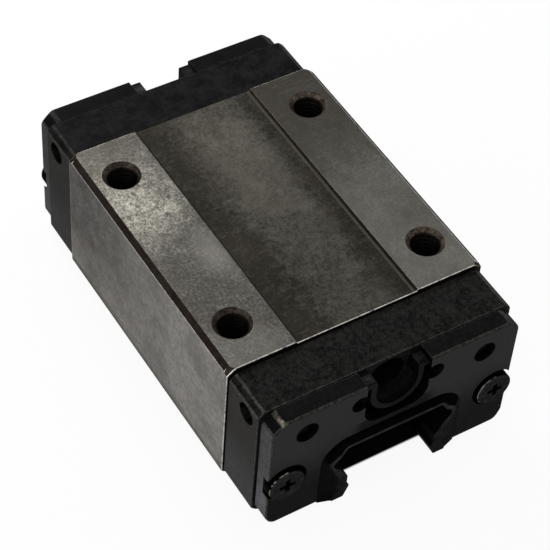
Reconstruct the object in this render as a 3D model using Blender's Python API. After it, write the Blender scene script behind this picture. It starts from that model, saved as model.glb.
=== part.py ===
"""Carriage of a profile-rail linear bearing with four ball circuits, low and block-shaped.

Frame: X runs along the rail, Y across it and Z up. The origin lies under the middle, level with
the end caps' feet. A cross section is a list of (y, depth) points: y from the middle plane,
depth down from the block's top face. An end is +1 (front, +X) or -1 (rear), a side is -1 (left,
-Y) or +1 (right), and a level is +1 (upper ball circuit) or -1 (lower ball circuit).
"""

import math

import bmesh
import bpy
import numpy as np

MM = 0.001

# Balls. The balls of one run are joined where they touch, so the pitch is a little under the
# diameter, and the last ball of each run is flattened to stay clear of the next run.
BALL_DIAMETER = 3.5 * MM
BALL_TOUCH_DIAMETER = 0.6 * MM
BALLS_PER_TURN = 3
BALL_CLEARANCE = 0.1 * MM
RUN_GAP = 0.05 * MM

# Ball circuits, from the rail outwards
RAIL_WIDTH = 20.0 * MM
ROW_BESIDE_RAIL = 0.25 * MM
UPPER_ROW_DEPTH = 12.1 * MM
ROW_SPACING = 5.4 * MM
CIRCUIT_TILT = math.radians(15.0)

# Steel block
BLOCK_LENGTH = 46.3 * MM
SIDE_WALL = 2.2386 * MM
BOTTOM_WALL = 1.865 * MM
TOP_CHAMFER = 0.8 * MM
FOOT_CHAMFER = 0.5 * MM
LAND_WIDTH = 11.1 * MM
BAND_RECESS = 0.3 * MM
ROOF_ABOVE_ROW = 0.9 * MM
ROW_WALL_OUTSIDE_ROW = 0.7 * MM
LEG_INSIDE_ROW = 0.3 * MM

# Threaded table holes in the block's top and screw holes in its ends
TABLE_HOLE_SPACING_X = 32.0 * MM
TABLE_HOLE_SPACING_Y = 32.0 * MM
TABLE_HOLE_DIAMETER = 4.3 * MM
TABLE_HOLE_COUNTERSINK = 5.8 * MM
TABLE_HOLE_FLOOR = 1.0 * MM
DRILL_TIP_HEIGHT = 0.6 * MM
DRILL_TIP_FLAT = 0.25

# End caps. The nipple's place is tied to the upper ball row, and the collar's arms to the nipple.
JOINT_GAP = 0.15 * MM
CAP_THICKNESS = 7.65 * MM
CAP_BELOW_TOP = 0.75 * MM
CAP_SIDE_INSET = 0.25 * MM
CAP_CHAMFER = 1.0 * MM
CAP_BELOW_BLOCK = 0.2 * MM
PORT_DIAMETER = 3.4 * MM
PORT_DEPTH = 7.0 * MM
PORT_BELOW_TOP = 3.8 * MM
PORT_FROM_OUTER_FACE = 3.0 * MM
NIPPLE_BORE_DIAMETER = 5.4 * MM
NIPPLE_BORE_DEPTH = 5.5 * MM
NIPPLE_ABOVE_UPPER_ROW = 8.1 * MM
COLLAR_INNER_RADIUS = 3.4 * MM
COLLAR_WALL = 0.9 * MM
COLLAR_ARM_HEIGHT = 2.55 * MM
COLLAR_HEAD_WIDTH = 0.75 * MM
COLLAR_HEAD_HEIGHT = 0.65 * MM
COLLAR_SET_BACK = 0.4 * MM
ROOT_IN_CAP = 1.0 * MM

# Return guides, which hold the inner half of each turn
GUIDE_PLATE_THICKNESS = 0.75 * MM
GUIDE_PLATE_OUTSIDE_ROW_WALL = 0.45 * MM
GUIDE_PLATE_INSET = 1.6 * MM
GUIDE_PLATE_MARGIN = 0.9 * MM
GUIDE_FLANGE = 0.25 * MM
GUIDE_CLEARANCE = 0.1 * MM
TURN_SPLIT_GAP = 0.06 * MM

# Seal plates
PLATE_THICKNESS = 2.9 * MM
PLATE_BELOW_TOP = 0.8 * MM
PLATE_SIDE_INSET = 0.45 * MM
PLATE_TOP_CORNER = 1.75 * MM
PLATE_FOOT_CORNER_WIDTH = 0.9 * MM
PLATE_FOOT_CORNER_HEIGHT = 2.0 * MM
PLATE_EDGE_ROUND = 0.45 * MM
CUTOUT_HALF_WIDTH = 5.25 * MM
CUTOUT_CORNER_RADIUS = 2.6 * MM
CUTOUT_BELOW_COLLAR = 1.0 * MM
EAR_RADIUS = 1.45 * MM
EAR_OUTSIDE_CUTOUT = 0.85 * MM
PEG_SPACING = 29.2 * MM
PEG_BELOW_TOP = 4.85 * MM
PEG_HOLE_DIAMETER = 3.5 * MM
PEG_CLEARANCE = 0.25 * MM
PEG_SET_BACK = 1.0 * MM

# End screws
SCREW_DIAMETER = 3.0 * MM
SCREW_CLEARANCE = 0.1 * MM
SCREW_FROM_SIDE = 3.55 * MM
SCREW_BELOW_UPPER_ROW = 2.35 * MM
SCREW_IN_BLOCK = 6.0 * MM
SCREW_TIP_CHAMFER = 0.45 * MM
SCREW_HEAD_DIAMETER = 5.75 * MM
SCREW_HEAD_HEIGHT = 1.85 * MM
SCREW_CROWN_WIDTH = 0.8 * MM
SCREW_CROWN_HEIGHT = 0.35 * MM
SCREW_POCKET_DIAMETER = 6.7 * MM
SCREW_POCKET_DEPTH = 1.3 * MM
CROSS_SPAN = 2.6 * MM
CROSS_WIDTH = 0.65 * MM
CROSS_DEPTH = 0.9 * MM

# End seals: the lip follows the rail, in a recess that runs out on the legs
SEAL_TOP_ABOVE_ROW = 0.25 * MM
SEAL_CORNER_INSIDE_ROW = 2.36 * MM
SEAL_GROOVE_RADIUS = 1.9 * MM
SEAL_SHOULDER_INSET = 0.05 * MM
SEAL_SHOULDER_ABOVE_MIDDLE = 0.45 * MM
SEAL_SHOULDER_BELOW_MIDDLE = 0.25 * MM
SEAL_WAIST_HALF_WIDTH = 7.35 * MM
SEAL_WAIST_BELOW_ROW = 1.0 * MM
SEAL_HOOK_REACH = 0.5 * MM
SEAL_HOOK_HEIGHT = 2.2 * MM
SEAL_HOOK_FLARE = 0.4 * MM
LIP_WIDTH_ON_TOP = 0.75 * MM
LIP_WIDTH_AT_FOOT = 2.1 * MM
LIP_PROUD = 0.8 * MM
LIP_EDGE = 0.2 * MM
LIP_RECESS = 1.2 * MM
OPENING_OUTSIDE_SEAL = 1.75 * MM
OPENING_ABOVE_SEAL = 1.55 * MM
OPENING_CORNER_RADIUS = 4.5 * MM

# The channel through the end caps, which clears the rail all round
CHANNEL_CLEARANCE = 0.5 * MM
CHANNEL_SHOULDER_ABOVE_MIDDLE = 1.2 * MM
CHANNEL_SHOULDER_BELOW_MIDDLE = 0.6 * MM
CHANNEL_SLOPE = 1.0 * MM
CHANNEL_WAIST_BELOW_ROW = 1.2 * MM

# Retainers and bottom seals in the channel
RETAINER_THICKNESS = 0.6 * MM
RETAINER_GAP = 0.1 * MM
RETAINER_EDGE_THICKNESS = 0.3 * MM
RETAINER_EDGE_ABOVE_ROW = 0.35 * MM
RETAINER_EDGE_BELOW_ROW = 0.15 * MM
RETAINER_CORNER = 0.15 * MM
RETAINER_BEND = 0.9 * MM
MIDDLE_RETAINER_GAP = 0.03 * MM
MIDDLE_RETAINER_EDGE = 0.25 * MM
LOWER_RETAINER_WIDTH = 2.0 * MM
LOWER_RETAINER_TOP_BELOW_ROW = 1.6 * MM
LOWER_RETAINER_ABOVE_SLOT = 0.25 * MM
LOWER_RETAINER_HOLLOW_START = 155.0
BOTTOM_SEAL_THICKNESS = 0.8 * MM
BOTTOM_SEAL_REACH = 1.35 * MM
BOTTOM_SEAL_DEPTH_IN_LEG = 0.7 * MM
BOTTOM_SEAL_LIP_LENGTH = 0.8 * MM
BOTTOM_SEAL_LIP_HANG = 0.35 * MM
BOTTOM_SEAL_LIP_SLOPE = 0.1 * MM

# How finely round faces are cut: sides of a circle, and steps of an arc
LOADED_SIDES = 8
HIDDEN_SIDES = 6
PASSAGE_SIDES = 8
TURN_STEPS = 6
HOLE_SIDES = 16
BORE_SIDES = 12
SHANK_HOLE_SIDES = 10
SCREW_SIDES = 16
GROOVE_STEPS = 8
SEAL_GROOVE_STEPS = 3
COLLAR_STEPS = 6
CORNER_STEPS = 5
HOLLOW_STEPS = 4

# Worked out: ball circuits
BALL_RADIUS = BALL_DIAMETER / 2
BALL_PITCH = math.sqrt(BALL_DIAMETER**2 - BALL_TOUCH_DIAMETER**2)
TURN_RADIUS = BALL_PITCH / (2 * math.sin(math.pi / (2 * BALLS_PER_TURN)))
BALLS_PER_ROW = math.ceil((BLOCK_LENGTH + 2 * JOINT_GAP + GUIDE_PLATE_THICKNESS) / BALL_PITCH)
TURN_X = BALLS_PER_ROW * BALL_PITCH / 2
PASSAGE_RADIUS = BALL_RADIUS + BALL_CLEARANCE
ROW_Y = RAIL_WIDTH / 2 + ROW_BESIDE_RAIL
LOWER_ROW_DEPTH = UPPER_ROW_DEPTH + ROW_SPACING
MIDDLE_DEPTH = UPPER_ROW_DEPTH + ROW_SPACING / 2
RETURN_Y = ROW_Y + 2 * TURN_RADIUS * math.cos(CIRCUIT_TILT)
RETURN_RISE = 2 * TURN_RADIUS * math.sin(CIRCUIT_TILT)

# Worked out: outlines and stations along X
BLOCK_HALF_WIDTH = RETURN_Y + PASSAGE_RADIUS + SIDE_WALL
BLOCK_HEIGHT = LOWER_ROW_DEPTH + RETURN_RISE + PASSAGE_RADIUS + BOTTOM_WALL
ROOF_DEPTH = UPPER_ROW_DEPTH - ROOF_ABOVE_ROW
ROW_WALL_Y = ROW_Y + ROW_WALL_OUTSIDE_ROW
LEG_Y = ROW_Y - LEG_INSIDE_ROW
CAP_FOOT_DEPTH = BLOCK_HEIGHT + CAP_BELOW_BLOCK
TOP_Z = CAP_FOOT_DEPTH
BLOCK_END = BLOCK_LENGTH / 2
CAP_INNER = BLOCK_END + JOINT_GAP
CAP_OUTER = CAP_INNER + CAP_THICKNESS
PLATE_INNER = CAP_OUTER + JOINT_GAP
PLATE_OUTER = PLATE_INNER + PLATE_THICKNESS
SCREW_Y = BLOCK_HALF_WIDTH - SCREW_FROM_SIDE
SCREW_DEPTH = UPPER_ROW_DEPTH + SCREW_BELOW_UPPER_ROW
SCREW_HOLE_RADIUS = SCREW_DIAMETER / 2 + SCREW_CLEARANCE
NIPPLE_DEPTH = UPPER_ROW_DEPTH - NIPPLE_ABOVE_UPPER_ROW
CUTOUT_DEPTH = NIPPLE_DEPTH + COLLAR_INNER_RADIUS + COLLAR_WALL + CUTOUT_BELOW_COLLAR
SEAL_TOP_DEPTH = UPPER_ROW_DEPTH - SEAL_TOP_ABOVE_ROW
OVERSHOOT = 2.0 * MM

ENDS = {1: "front", -1: "rear"}
SIDES = {-1: "left", 1: "right"}
LEVELS = {1: "upper", -1: "lower"}


def clear_scene():
    for obj in list(bpy.data.objects):
        bpy.data.objects.remove(obj)


def material(name, colour, roughness, metallic):
    made = bpy.data.materials.new(name)
    made.use_nodes = True
    shader = made.node_tree.nodes["Principled BSDF"]
    shader.inputs["Base Color"].default_value = (*colour, 1.0)
    shader.inputs["Roughness"].default_value = roughness
    shader.inputs["Metallic"].default_value = metallic
    return made


def loft(name, rings, finish=None):
    """A skin over a row of rings with equally many points, closed by a face at each end."""
    rings = np.asarray(rings, float)
    count, size = rings.shape[:2]
    corners = np.arange(count * size).reshape(count, size)
    faces = [corners[0].tolist(), corners[-1].tolist()]
    for near, far in zip(corners[:-1], corners[1:]):
        walls = np.stack([near, np.roll(near, -1), np.roll(far, -1), far], axis=1)
        faces.extend(walls.tolist())
    mesh = bpy.data.meshes.new(name)
    mesh.from_pydata(rings.reshape(-1, 3).tolist(), [], faces)
    work = bmesh.new()
    work.from_mesh(mesh)
    bmesh.ops.recalc_face_normals(work, faces=work.faces)
    work.to_mesh(mesh)
    work.free()
    obj = bpy.data.objects.new(name, mesh)
    bpy.context.scene.collection.objects.link(obj)
    if finish:
        mesh.materials.append(finish)
    return obj


def cutter(obj):
    obj.hide_render = True
    obj.display_type = "WIRE"
    return obj


def boolean(target, operation, tools):
    for tool in tools:
        cutter(tool)
        step = target.modifiers.new(tool.name, "BOOLEAN")
        step.operation = operation
        step.object = tool


def smooth(obj, degrees=35.0):
    obj.data.shade_smooth()
    obj.data.set_sharp_from_angle(angle=math.radians(degrees))


def arc(centre, radius, start, end, steps):
    """Points on a circle from one angle to another, in degrees from +y towards greater depth."""
    angles = np.radians(np.linspace(start, end, steps + 1))
    return [(centre[0] + radius * math.cos(a), centre[1] + radius * math.sin(a)) for a in angles]


def mirrored(half):
    """The closed outline whose right half is given, from the middle plane round and back."""
    left = [(-y, depth) for y, depth in reversed(half) if y > 1e-9]
    return list(half) + left


def at_side(side, outline):
    return [(side * y, depth) for y, depth in outline]


def section(x, outline):
    """An outline of (y, depth) points as a ring in the plane across the rail at x."""
    return [(x, y, TOP_Z - depth) for y, depth in outline]


def prism(name, outline, start_x, end_x, finish=None):
    return loft(name, [section(start_x, outline), section(end_x, outline)], finish)


def circle(radius, sides, outside=False):
    """Points of a circle. With outside set, its sides touch the circle instead of its corners."""
    reach = radius / math.cos(math.pi / sides) if outside else radius
    turns = (np.arange(sides) + 0.5) * 2 * math.pi / sides
    return reach * np.stack([np.cos(turns), np.sin(turns)], axis=1)


def turned(name, foot, axis, profile, sides, finish=None, outside=False):
    """A solid of revolution. The profile lists (distance along the axis, radius)."""
    axis = np.asarray(axis, float)
    across = np.array([0.0, 1.0, 0.0]) if abs(axis[1]) < 0.9 else np.array([1.0, 0.0, 0.0])
    along = np.cross(axis, across)
    unit = circle(1.0, sides, outside)
    spokes = unit[:, :1] * across + unit[:, 1:] * along
    rings = [np.asarray(foot) + axis * distance + spokes * radius for distance, radius in profile]
    obj = loft(name, rings, finish)
    smooth(obj)
    return obj


def x_hole(name, y, depth, radius, start_x, end_x, sides=HOLE_SIDES):
    """A round cutter along X, whose sides touch the hole's radius."""
    foot = (start_x, y, TOP_Z - depth)
    return turned(name, foot, (1, 0, 0), [(0, radius), (end_x - start_x, radius)], sides, outside=True)


class Circuit:
    """One endless ball circuit: the loaded row, the return row and the plane they share."""

    def __init__(self, side, level):
        self.side = side
        self.level = level
        self.name = f"{LEVELS[level]}_{SIDES[side]}"
        depth = UPPER_ROW_DEPTH if level > 0 else LOWER_ROW_DEPTH
        self.loaded = np.array([0.0, side * ROW_Y, TOP_Z - depth])
        lean = (0.0, side * math.cos(CIRCUIT_TILT), level * math.sin(CIRCUIT_TILT))
        self.outward = np.array(lean)
        self.returning = self.loaded + 2 * TURN_RADIUS * self.outward
        self.hinge_axis = np.cross((1.0, 0.0, 0.0), self.outward)

    def turn_centre(self, end):
        return self.loaded + TURN_RADIUS * self.outward + (end * TURN_X, 0.0, 0.0)

    def on_turn(self, end, angle, radius=TURN_RADIUS):
        """The point at an angle round the turn, from 0 at the loaded row to pi at the return."""
        forward = np.array([end * math.sin(angle), 0.0, 0.0])
        return self.turn_centre(end) + radius * (forward - math.cos(angle) * self.outward)

    def ring(self, centre, direction, radius, sides, outside=False):
        """A ring square to a direction that lies in the circuit's plane."""
        across = np.cross(self.hinge_axis, direction)
        unit = circle(radius, sides, outside)
        return centre + unit[:, :1] * self.hinge_axis + unit[:, 1:] * across


def passage(circuit, end):
    """Cutter for the turn: a tube out of the loaded row, round the half circle and back."""
    middle = TURN_RADIUS * 2 / (1 + math.cos(math.pi / (2 * TURN_STEPS)))
    ahead = np.array([float(end), 0.0, 0.0])
    reach = ahead * (TURN_X - BLOCK_END + OVERSHOOT)
    rings = []
    for step in range(TURN_STEPS + 1):
        angle = math.pi * step / TURN_STEPS
        direction = math.cos(angle) * ahead + math.sin(angle) * circuit.outward
        centre = circuit.on_turn(end, angle, middle)
        rings.append(circuit.ring(centre, direction, PASSAGE_RADIUS, PASSAGE_SIDES, outside=True))
    rings.insert(0, rings[0] - reach)
    rings.append(rings[-1] - reach)
    return cutter(loft(f"passage_{ENDS[end]}_{circuit.name}", rings))


def ball_string(name, circuit, centres, directions, joins, polar, sides, finish):
    """Balls joined where they touch. Each gets rings at the polar angles about its direction,
    and joins gives the centre and direction of each ring between two balls."""
    touch = BALL_TOUCH_DIAMETER / 2
    inset = BALL_PITCH / 2 - RUN_GAP
    end_radius = math.sqrt(BALL_RADIUS**2 - inset**2)
    rings = [circuit.ring(centres[0] - inset * directions[0], directions[0], end_radius, sides)]
    for number, (centre, direction) in enumerate(zip(centres, directions)):
        for angle in np.radians(polar):
            place = centre - BALL_RADIUS * math.cos(angle) * direction
            rings.append(circuit.ring(place, direction, BALL_RADIUS * math.sin(angle), sides))
        if number < len(joins):
            rings.append(circuit.ring(*joins[number], touch, sides))
    rings.append(circuit.ring(centres[-1] + inset * directions[-1], directions[-1], end_radius, sides))
    obj = loft(name, rings, finish)
    obj.data.shade_smooth()
    return obj


def straight_balls(name, circuit, line, polar, sides, finish):
    forward = np.array([1.0, 0.0, 0.0])
    stations = (np.arange(BALLS_PER_ROW) - (BALLS_PER_ROW - 1) / 2) * BALL_PITCH
    centres = [line + x * forward for x in stations]
    joins = [(centre + forward * BALL_PITCH / 2, forward) for centre in centres[:-1]]
    directions = [forward] * BALLS_PER_ROW
    return ball_string(name, circuit, centres, directions, joins, polar, sides, finish)


def turn_balls(name, circuit, end, polar, sides, finish):
    step = math.pi / BALLS_PER_TURN
    ahead = np.array([float(end), 0.0, 0.0])

    def heading(angle):
        return math.cos(angle) * ahead + math.sin(angle) * circuit.outward

    angles = [(number + 0.5) * step for number in range(BALLS_PER_TURN)]
    centres = [circuit.on_turn(end, angle) for angle in angles]
    directions = [heading(angle) for angle in angles]
    joins = []
    for first, second, angle in zip(centres, centres[1:], angles):
        joins.append(((first + second) / 2, heading(angle + step / 2)))
    obj = ball_string(name, circuit, centres, directions, joins, polar, sides, finish)
    pivot = circuit.turn_centre(end)
    obj.data.transform(obj.matrix_world.Translation(tuple(-pivot)))
    obj.location = pivot
    return obj


def seal_outline():
    """Right half of the edge that wipes the rail, from the middle of its top to its foot."""
    upper = (ROW_Y, UPPER_ROW_DEPTH)
    lower = (ROW_Y, LOWER_ROW_DEPTH)
    shoulder = RAIL_WIDTH / 2 - SEAL_SHOULDER_INSET
    waist = SEAL_WAIST_HALF_WIDTH
    hook = CAP_FOOT_DEPTH - SEAL_HOOK_HEIGHT
    points = [(0.0, SEAL_TOP_DEPTH), (ROW_Y - SEAL_CORNER_INSIDE_ROW, SEAL_TOP_DEPTH)]
    points += arc(upper, SEAL_GROOVE_RADIUS, 158, 118, SEAL_GROOVE_STEPS)
    points.append((shoulder, MIDDLE_DEPTH - SEAL_SHOULDER_ABOVE_MIDDLE))
    points.append((shoulder, MIDDLE_DEPTH + SEAL_SHOULDER_BELOW_MIDDLE))
    points += arc(lower, SEAL_GROOVE_RADIUS, 234, 192, SEAL_GROOVE_STEPS)
    points += [(waist, LOWER_ROW_DEPTH + SEAL_WAIST_BELOW_ROW), (waist, hook - SEAL_HOOK_REACH)]
    points += [(waist - SEAL_HOOK_REACH, hook), (waist + SEAL_HOOK_FLARE, CAP_FOOT_DEPTH)]
    return points


def opening_outline(margin=0.0):
    """Right half of the seal plate's opening, a plain arch round the seal, less a margin."""
    side = RAIL_WIDTH / 2 + OPENING_OUTSIDE_SEAL - margin
    top = SEAL_TOP_DEPTH - OPENING_ABOVE_SEAL + margin
    radius = OPENING_CORNER_RADIUS - margin
    corner = arc((side - radius, top + radius), radius, -90, 0, CORNER_STEPS)
    return [(0.0, top), *corner, (side, CAP_FOOT_DEPTH)]


def resampled(points, shares):
    """Points at the given shares of a polyline's length."""
    points = np.asarray(points)
    lengths = np.hypot(*np.diff(points, axis=0).T)
    walked = np.concatenate([[0.0], np.cumsum(lengths)]) / lengths.sum()
    return np.stack([np.interp(shares, walked, points[:, axis]) for axis in (0, 1)], axis=1)


def channel_outline():
    """Right half of the end cap's opening, wide enough for the rail to pass."""
    inner = SEAL_WAIST_HALF_WIDTH + CHANNEL_CLEARANCE
    shoulder = RAIL_WIDTH / 2 + CHANNEL_CLEARANCE
    top = SEAL_TOP_DEPTH - CHANNEL_CLEARANCE
    waist = LOWER_ROW_DEPTH + CHANNEL_WAIST_BELOW_ROW
    return [
        (0.0, top),
        (ROW_Y - SEAL_GROOVE_RADIUS, top),
        (shoulder, MIDDLE_DEPTH - CHANNEL_SHOULDER_ABOVE_MIDDLE),
        (shoulder, MIDDLE_DEPTH + CHANNEL_SHOULDER_BELOW_MIDDLE),
        (inner + CHANNEL_SLOPE, waist - CHANNEL_SLOPE),
        (inner, waist),
    ]


def block_outline():
    """The block's cross section: the lands and band on top, the legs and the four grooves."""
    upper = (ROW_Y, UPPER_ROW_DEPTH)
    lower = (ROW_Y, LOWER_ROW_DEPTH)
    roof = math.degrees(math.asin(ROOF_ABOVE_ROW / PASSAGE_RADIUS))
    wall = math.degrees(math.acos(ROW_WALL_OUTSIDE_ROW / PASSAGE_RADIUS))
    leg = math.degrees(math.asin(LEG_INSIDE_ROW / PASSAGE_RADIUS))
    band = BLOCK_HALF_WIDTH - LAND_WIDTH
    slot_top, slot_bottom = seal_slot()
    slot_y = LEG_Y + BOTTOM_SEAL_REACH + RETAINER_GAP
    half = [
        (0.0, BAND_RECESS),
        (band, BAND_RECESS),
        (band, 0.0),
        (BLOCK_HALF_WIDTH - TOP_CHAMFER, 0.0),
        (BLOCK_HALF_WIDTH, TOP_CHAMFER),
        (BLOCK_HALF_WIDTH, BLOCK_HEIGHT - FOOT_CHAMFER),
        (BLOCK_HALF_WIDTH - FOOT_CHAMFER, BLOCK_HEIGHT),
        (LEG_Y, BLOCK_HEIGHT),
        (LEG_Y, slot_bottom),
        (slot_y, slot_bottom),
        (slot_y, slot_top),
        (LEG_Y, slot_top),
    ]
    half += arc(lower, PASSAGE_RADIUS, 90 + leg, -wall, GROOVE_STEPS)
    half += arc(upper, PASSAGE_RADIUS, wall, roof - 180, GROOVE_STEPS)
    half += [(0.0, ROOF_DEPTH)]
    return mirrored(half)


def seal_slot():
    """Depths of the slot in the legs that holds the bottom seals."""
    bottom = BLOCK_HEIGHT - BOTTOM_SEAL_DEPTH_IN_LEG
    return bottom - BOTTOM_SEAL_THICKNESS - 2 * RETAINER_GAP, bottom


def steel_block(finish, circuits):
    block = prism("carriage_block", block_outline(), -BLOCK_END, BLOCK_END, finish)
    tools = []
    for circuit in circuits:
        y, z = circuit.returning[1:]
        ends = (-BLOCK_END - OVERSHOOT, BLOCK_END + OVERSHOOT)
        spot = (y, TOP_Z - z, PASSAGE_RADIUS)
        tools.append(x_hole(f"return_bore_{circuit.name}", *spot, *ends, BORE_SIDES))
    deep = UPPER_ROW_DEPTH - RETURN_RISE - PASSAGE_RADIUS - TABLE_HOLE_FLOOR
    wide = TABLE_HOLE_DIAMETER / 2
    flare = TABLE_HOLE_COUNTERSINK / 2 - wide
    profile = [
        (-OVERSHOOT, wide + flare + OVERSHOOT),
        (flare, wide),
        (deep - DRILL_TIP_HEIGHT, wide),
        (deep, wide * DRILL_TIP_FLAT),
    ]
    for end in ENDS:
        for side in SIDES:
            name = f"{ENDS[end]}_{SIDES[side]}"
            foot = (end * TABLE_HOLE_SPACING_X / 2, side * TABLE_HOLE_SPACING_Y / 2, TOP_Z)
            tools.append(turned(f"table_hole_{name}", foot, (0, 0, -1), profile, HOLE_SIDES))
            inner = BLOCK_END - SCREW_IN_BLOCK - OVERSHOOT
            span = (end * inner, end * (BLOCK_END + OVERSHOOT))
            spot = (side * SCREW_Y, SCREW_DEPTH, SCREW_HOLE_RADIUS)
            tools.append(x_hole(f"tapped_hole_{name}", *spot, *span, SHANK_HOLE_SIDES))
    boolean(block, "DIFFERENCE", tools)
    return block


def guide_plate_outline(side, margin=0.0):
    inner = ROW_WALL_Y + GUIDE_PLATE_OUTSIDE_ROW_WALL - margin
    outer = BLOCK_HALF_WIDTH - GUIDE_PLATE_INSET + margin
    above = UPPER_ROW_DEPTH - RETURN_RISE - PASSAGE_RADIUS + GUIDE_PLATE_MARGIN - margin
    below = LOWER_ROW_DEPTH + RETURN_RISE + PASSAGE_RADIUS - GUIDE_PLATE_MARGIN + margin
    return at_side(side, [(inner, above), (outer, above), (outer, below), (inner, below)])


def guide_nose(name, circuit, end, radius, half_thickness, start):
    """The rounded block inside a turn: a half disc in the circuit's plane, back to a start x."""
    angles = np.linspace(0.0, math.pi, TURN_STEPS + 1)
    rim = [circuit.on_turn(end, angle, radius) for angle in angles]
    back = end * (TURN_X - start)
    rim = [rim[0] - (back, 0, 0), *rim, rim[-1] - (back, 0, 0)]
    shift = half_thickness * circuit.hinge_axis
    return loft(name, [np.array(rim) - shift, np.array(rim) + shift])


def return_guide(end, side, circuits, passages, finish):
    name = f"{ENDS[end]}_{SIDES[side]}"
    start, stop = end * CAP_INNER, end * (CAP_INNER + GUIDE_PLATE_THICKNESS)
    guide = prism(f"return_guide_{name}", guide_plate_outline(side), start, stop, finish)
    noses = []
    for circuit in circuits:
        nose_name = f"nose_{ENDS[end]}_{circuit.name}"
        thick = PASSAGE_RADIUS + GUIDE_FLANGE
        start = CAP_INNER + GUIDE_PLATE_THICKNESS / 3
        noses.append(guide_nose(nose_name, circuit, end, TURN_RADIUS - TURN_SPLIT_GAP, thick, start))
    boolean(guide, "UNION", noses)
    spot = (side * SCREW_Y, SCREW_DEPTH, SCREW_HOLE_RADIUS)
    span = (end * (CAP_INNER - OVERSHOOT), end * CAP_OUTER)
    hole = x_hole(f"guide_screw_hole_{name}", *spot, *span, SHANK_HOLE_SIDES)
    boolean(guide, "DIFFERENCE", [passages[end, circuit.name] for circuit in circuits] + [hole])
    return guide


def cap_outline():
    """The end cap's cross section: chamfered above and below, open where the rail passes."""
    outer = BLOCK_HALF_WIDTH - CAP_SIDE_INSET
    half = [
        (0.0, CAP_BELOW_TOP),
        (outer - CAP_CHAMFER, CAP_BELOW_TOP),
        (outer, CAP_BELOW_TOP + CAP_CHAMFER),
        (outer, CAP_FOOT_DEPTH - CAP_CHAMFER),
        (outer - CAP_CHAMFER, CAP_FOOT_DEPTH),
        (SEAL_WAIST_HALF_WIDTH + CHANNEL_CLEARANCE, CAP_FOOT_DEPTH),
    ]
    return mirrored(half + channel_outline()[:0:-1] + channel_outline()[:1])


def collar_outline():
    """The raised U round the nipple bore, with a small head on each arm."""
    middle = (0.0, NIPPLE_DEPTH)
    inner, outer = COLLAR_INNER_RADIUS, COLLAR_INNER_RADIUS + COLLAR_WALL
    top = NIPPLE_DEPTH - COLLAR_ARM_HEIGHT
    under = top + COLLAR_HEAD_HEIGHT
    head = outer + COLLAR_HEAD_WIDTH
    outside = arc(middle, outer, 90, 0, COLLAR_STEPS)
    inside = arc(middle, inner, 0, 90, COLLAR_STEPS)
    return mirrored([*outside, (outer, under), (head, under), (head, top), (inner, top), *inside])


def end_cap(end, circuits, passages, finish):
    name = ENDS[end]
    cap = prism(f"end_cap_{name}", cap_outline(), end * CAP_INNER, end * CAP_OUTER, finish)
    proud = end * (PLATE_OUTER - COLLAR_SET_BACK)
    tools = [prism(f"collar_{name}", collar_outline(), end * (CAP_OUTER - ROOT_IN_CAP), proud)]
    peg = PEG_HOLE_DIAMETER / 2 - PEG_CLEARANCE
    for side in SIDES:
        spot = (side * PEG_SPACING / 2, PEG_BELOW_TOP, peg)
        span = (end * (CAP_OUTER - ROOT_IN_CAP), end * (PLATE_OUTER - PEG_SET_BACK))
        tools.append(x_hole(f"peg_{name}_{SIDES[side]}", *spot, *span, BORE_SIDES))
    boolean(cap, "UNION", tools)
    bore = (0.0, NIPPLE_DEPTH, NIPPLE_BORE_DIAMETER / 2)
    bore_span = (end * (CAP_OUTER - NIPPLE_BORE_DEPTH), end * (PLATE_OUTER + OVERSHOOT))
    tools = [x_hole(f"nipple_bore_{name}", *bore, *bore_span)]
    for side in SIDES:
        label = f"{name}_{SIDES[side]}"
        mouth = side * (BLOCK_HALF_WIDTH + OVERSHOOT)
        foot = (end * (CAP_OUTER - PORT_FROM_OUTER_FACE), mouth, TOP_Z - PORT_BELOW_TOP)
        reach = PORT_DEPTH + CAP_SIDE_INSET + OVERSHOOT
        radius = PORT_DIAMETER / 2
        profile = [(0, radius), (reach, radius), (reach + DRILL_TIP_HEIGHT, radius * DRILL_TIP_FLAT)]
        tools.append(turned(f"port_{label}", foot, (0, -side, 0), profile, BORE_SIDES))
        recess = guide_plate_outline(side, GUIDE_CLEARANCE)
        floor = CAP_INNER + GUIDE_PLATE_THICKNESS + GUIDE_CLEARANCE
        tools.append(prism(f"guide_recess_{label}", recess, end * BLOCK_END, end * floor))
        screw = (side * SCREW_Y, SCREW_DEPTH, SCREW_HOLE_RADIUS)
        span = (end * BLOCK_END, end * PLATE_INNER)
        tools.append(x_hole(f"cap_screw_hole_{label}", *screw, *span, SHANK_HOLE_SIDES))
    for circuit in circuits:
        thick = PASSAGE_RADIUS + GUIDE_FLANGE + GUIDE_CLEARANCE
        radius = TURN_RADIUS + TURN_SPLIT_GAP
        tools.append(guide_nose(f"socket_{name}_{circuit.name}", circuit, end, radius, thick, BLOCK_END))
        tools.append(passages[end, circuit.name])
    boolean(cap, "DIFFERENCE", tools)
    return cap


def plate_outline(inset=0.0):
    """The seal plate's cross section without its cut-outs."""
    outer = BLOCK_HALF_WIDTH - CAP_SIDE_INSET - PLATE_SIDE_INSET - inset
    top = PLATE_BELOW_TOP + inset
    half = [
        (0.0, top),
        (outer - PLATE_TOP_CORNER, top),
        (outer, top + PLATE_TOP_CORNER),
        (outer, CAP_FOOT_DEPTH - PLATE_FOOT_CORNER_HEIGHT),
        (outer - PLATE_FOOT_CORNER_WIDTH, CAP_FOOT_DEPTH),
        (0.0, CAP_FOOT_DEPTH),
    ]
    return mirrored(half)


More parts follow.
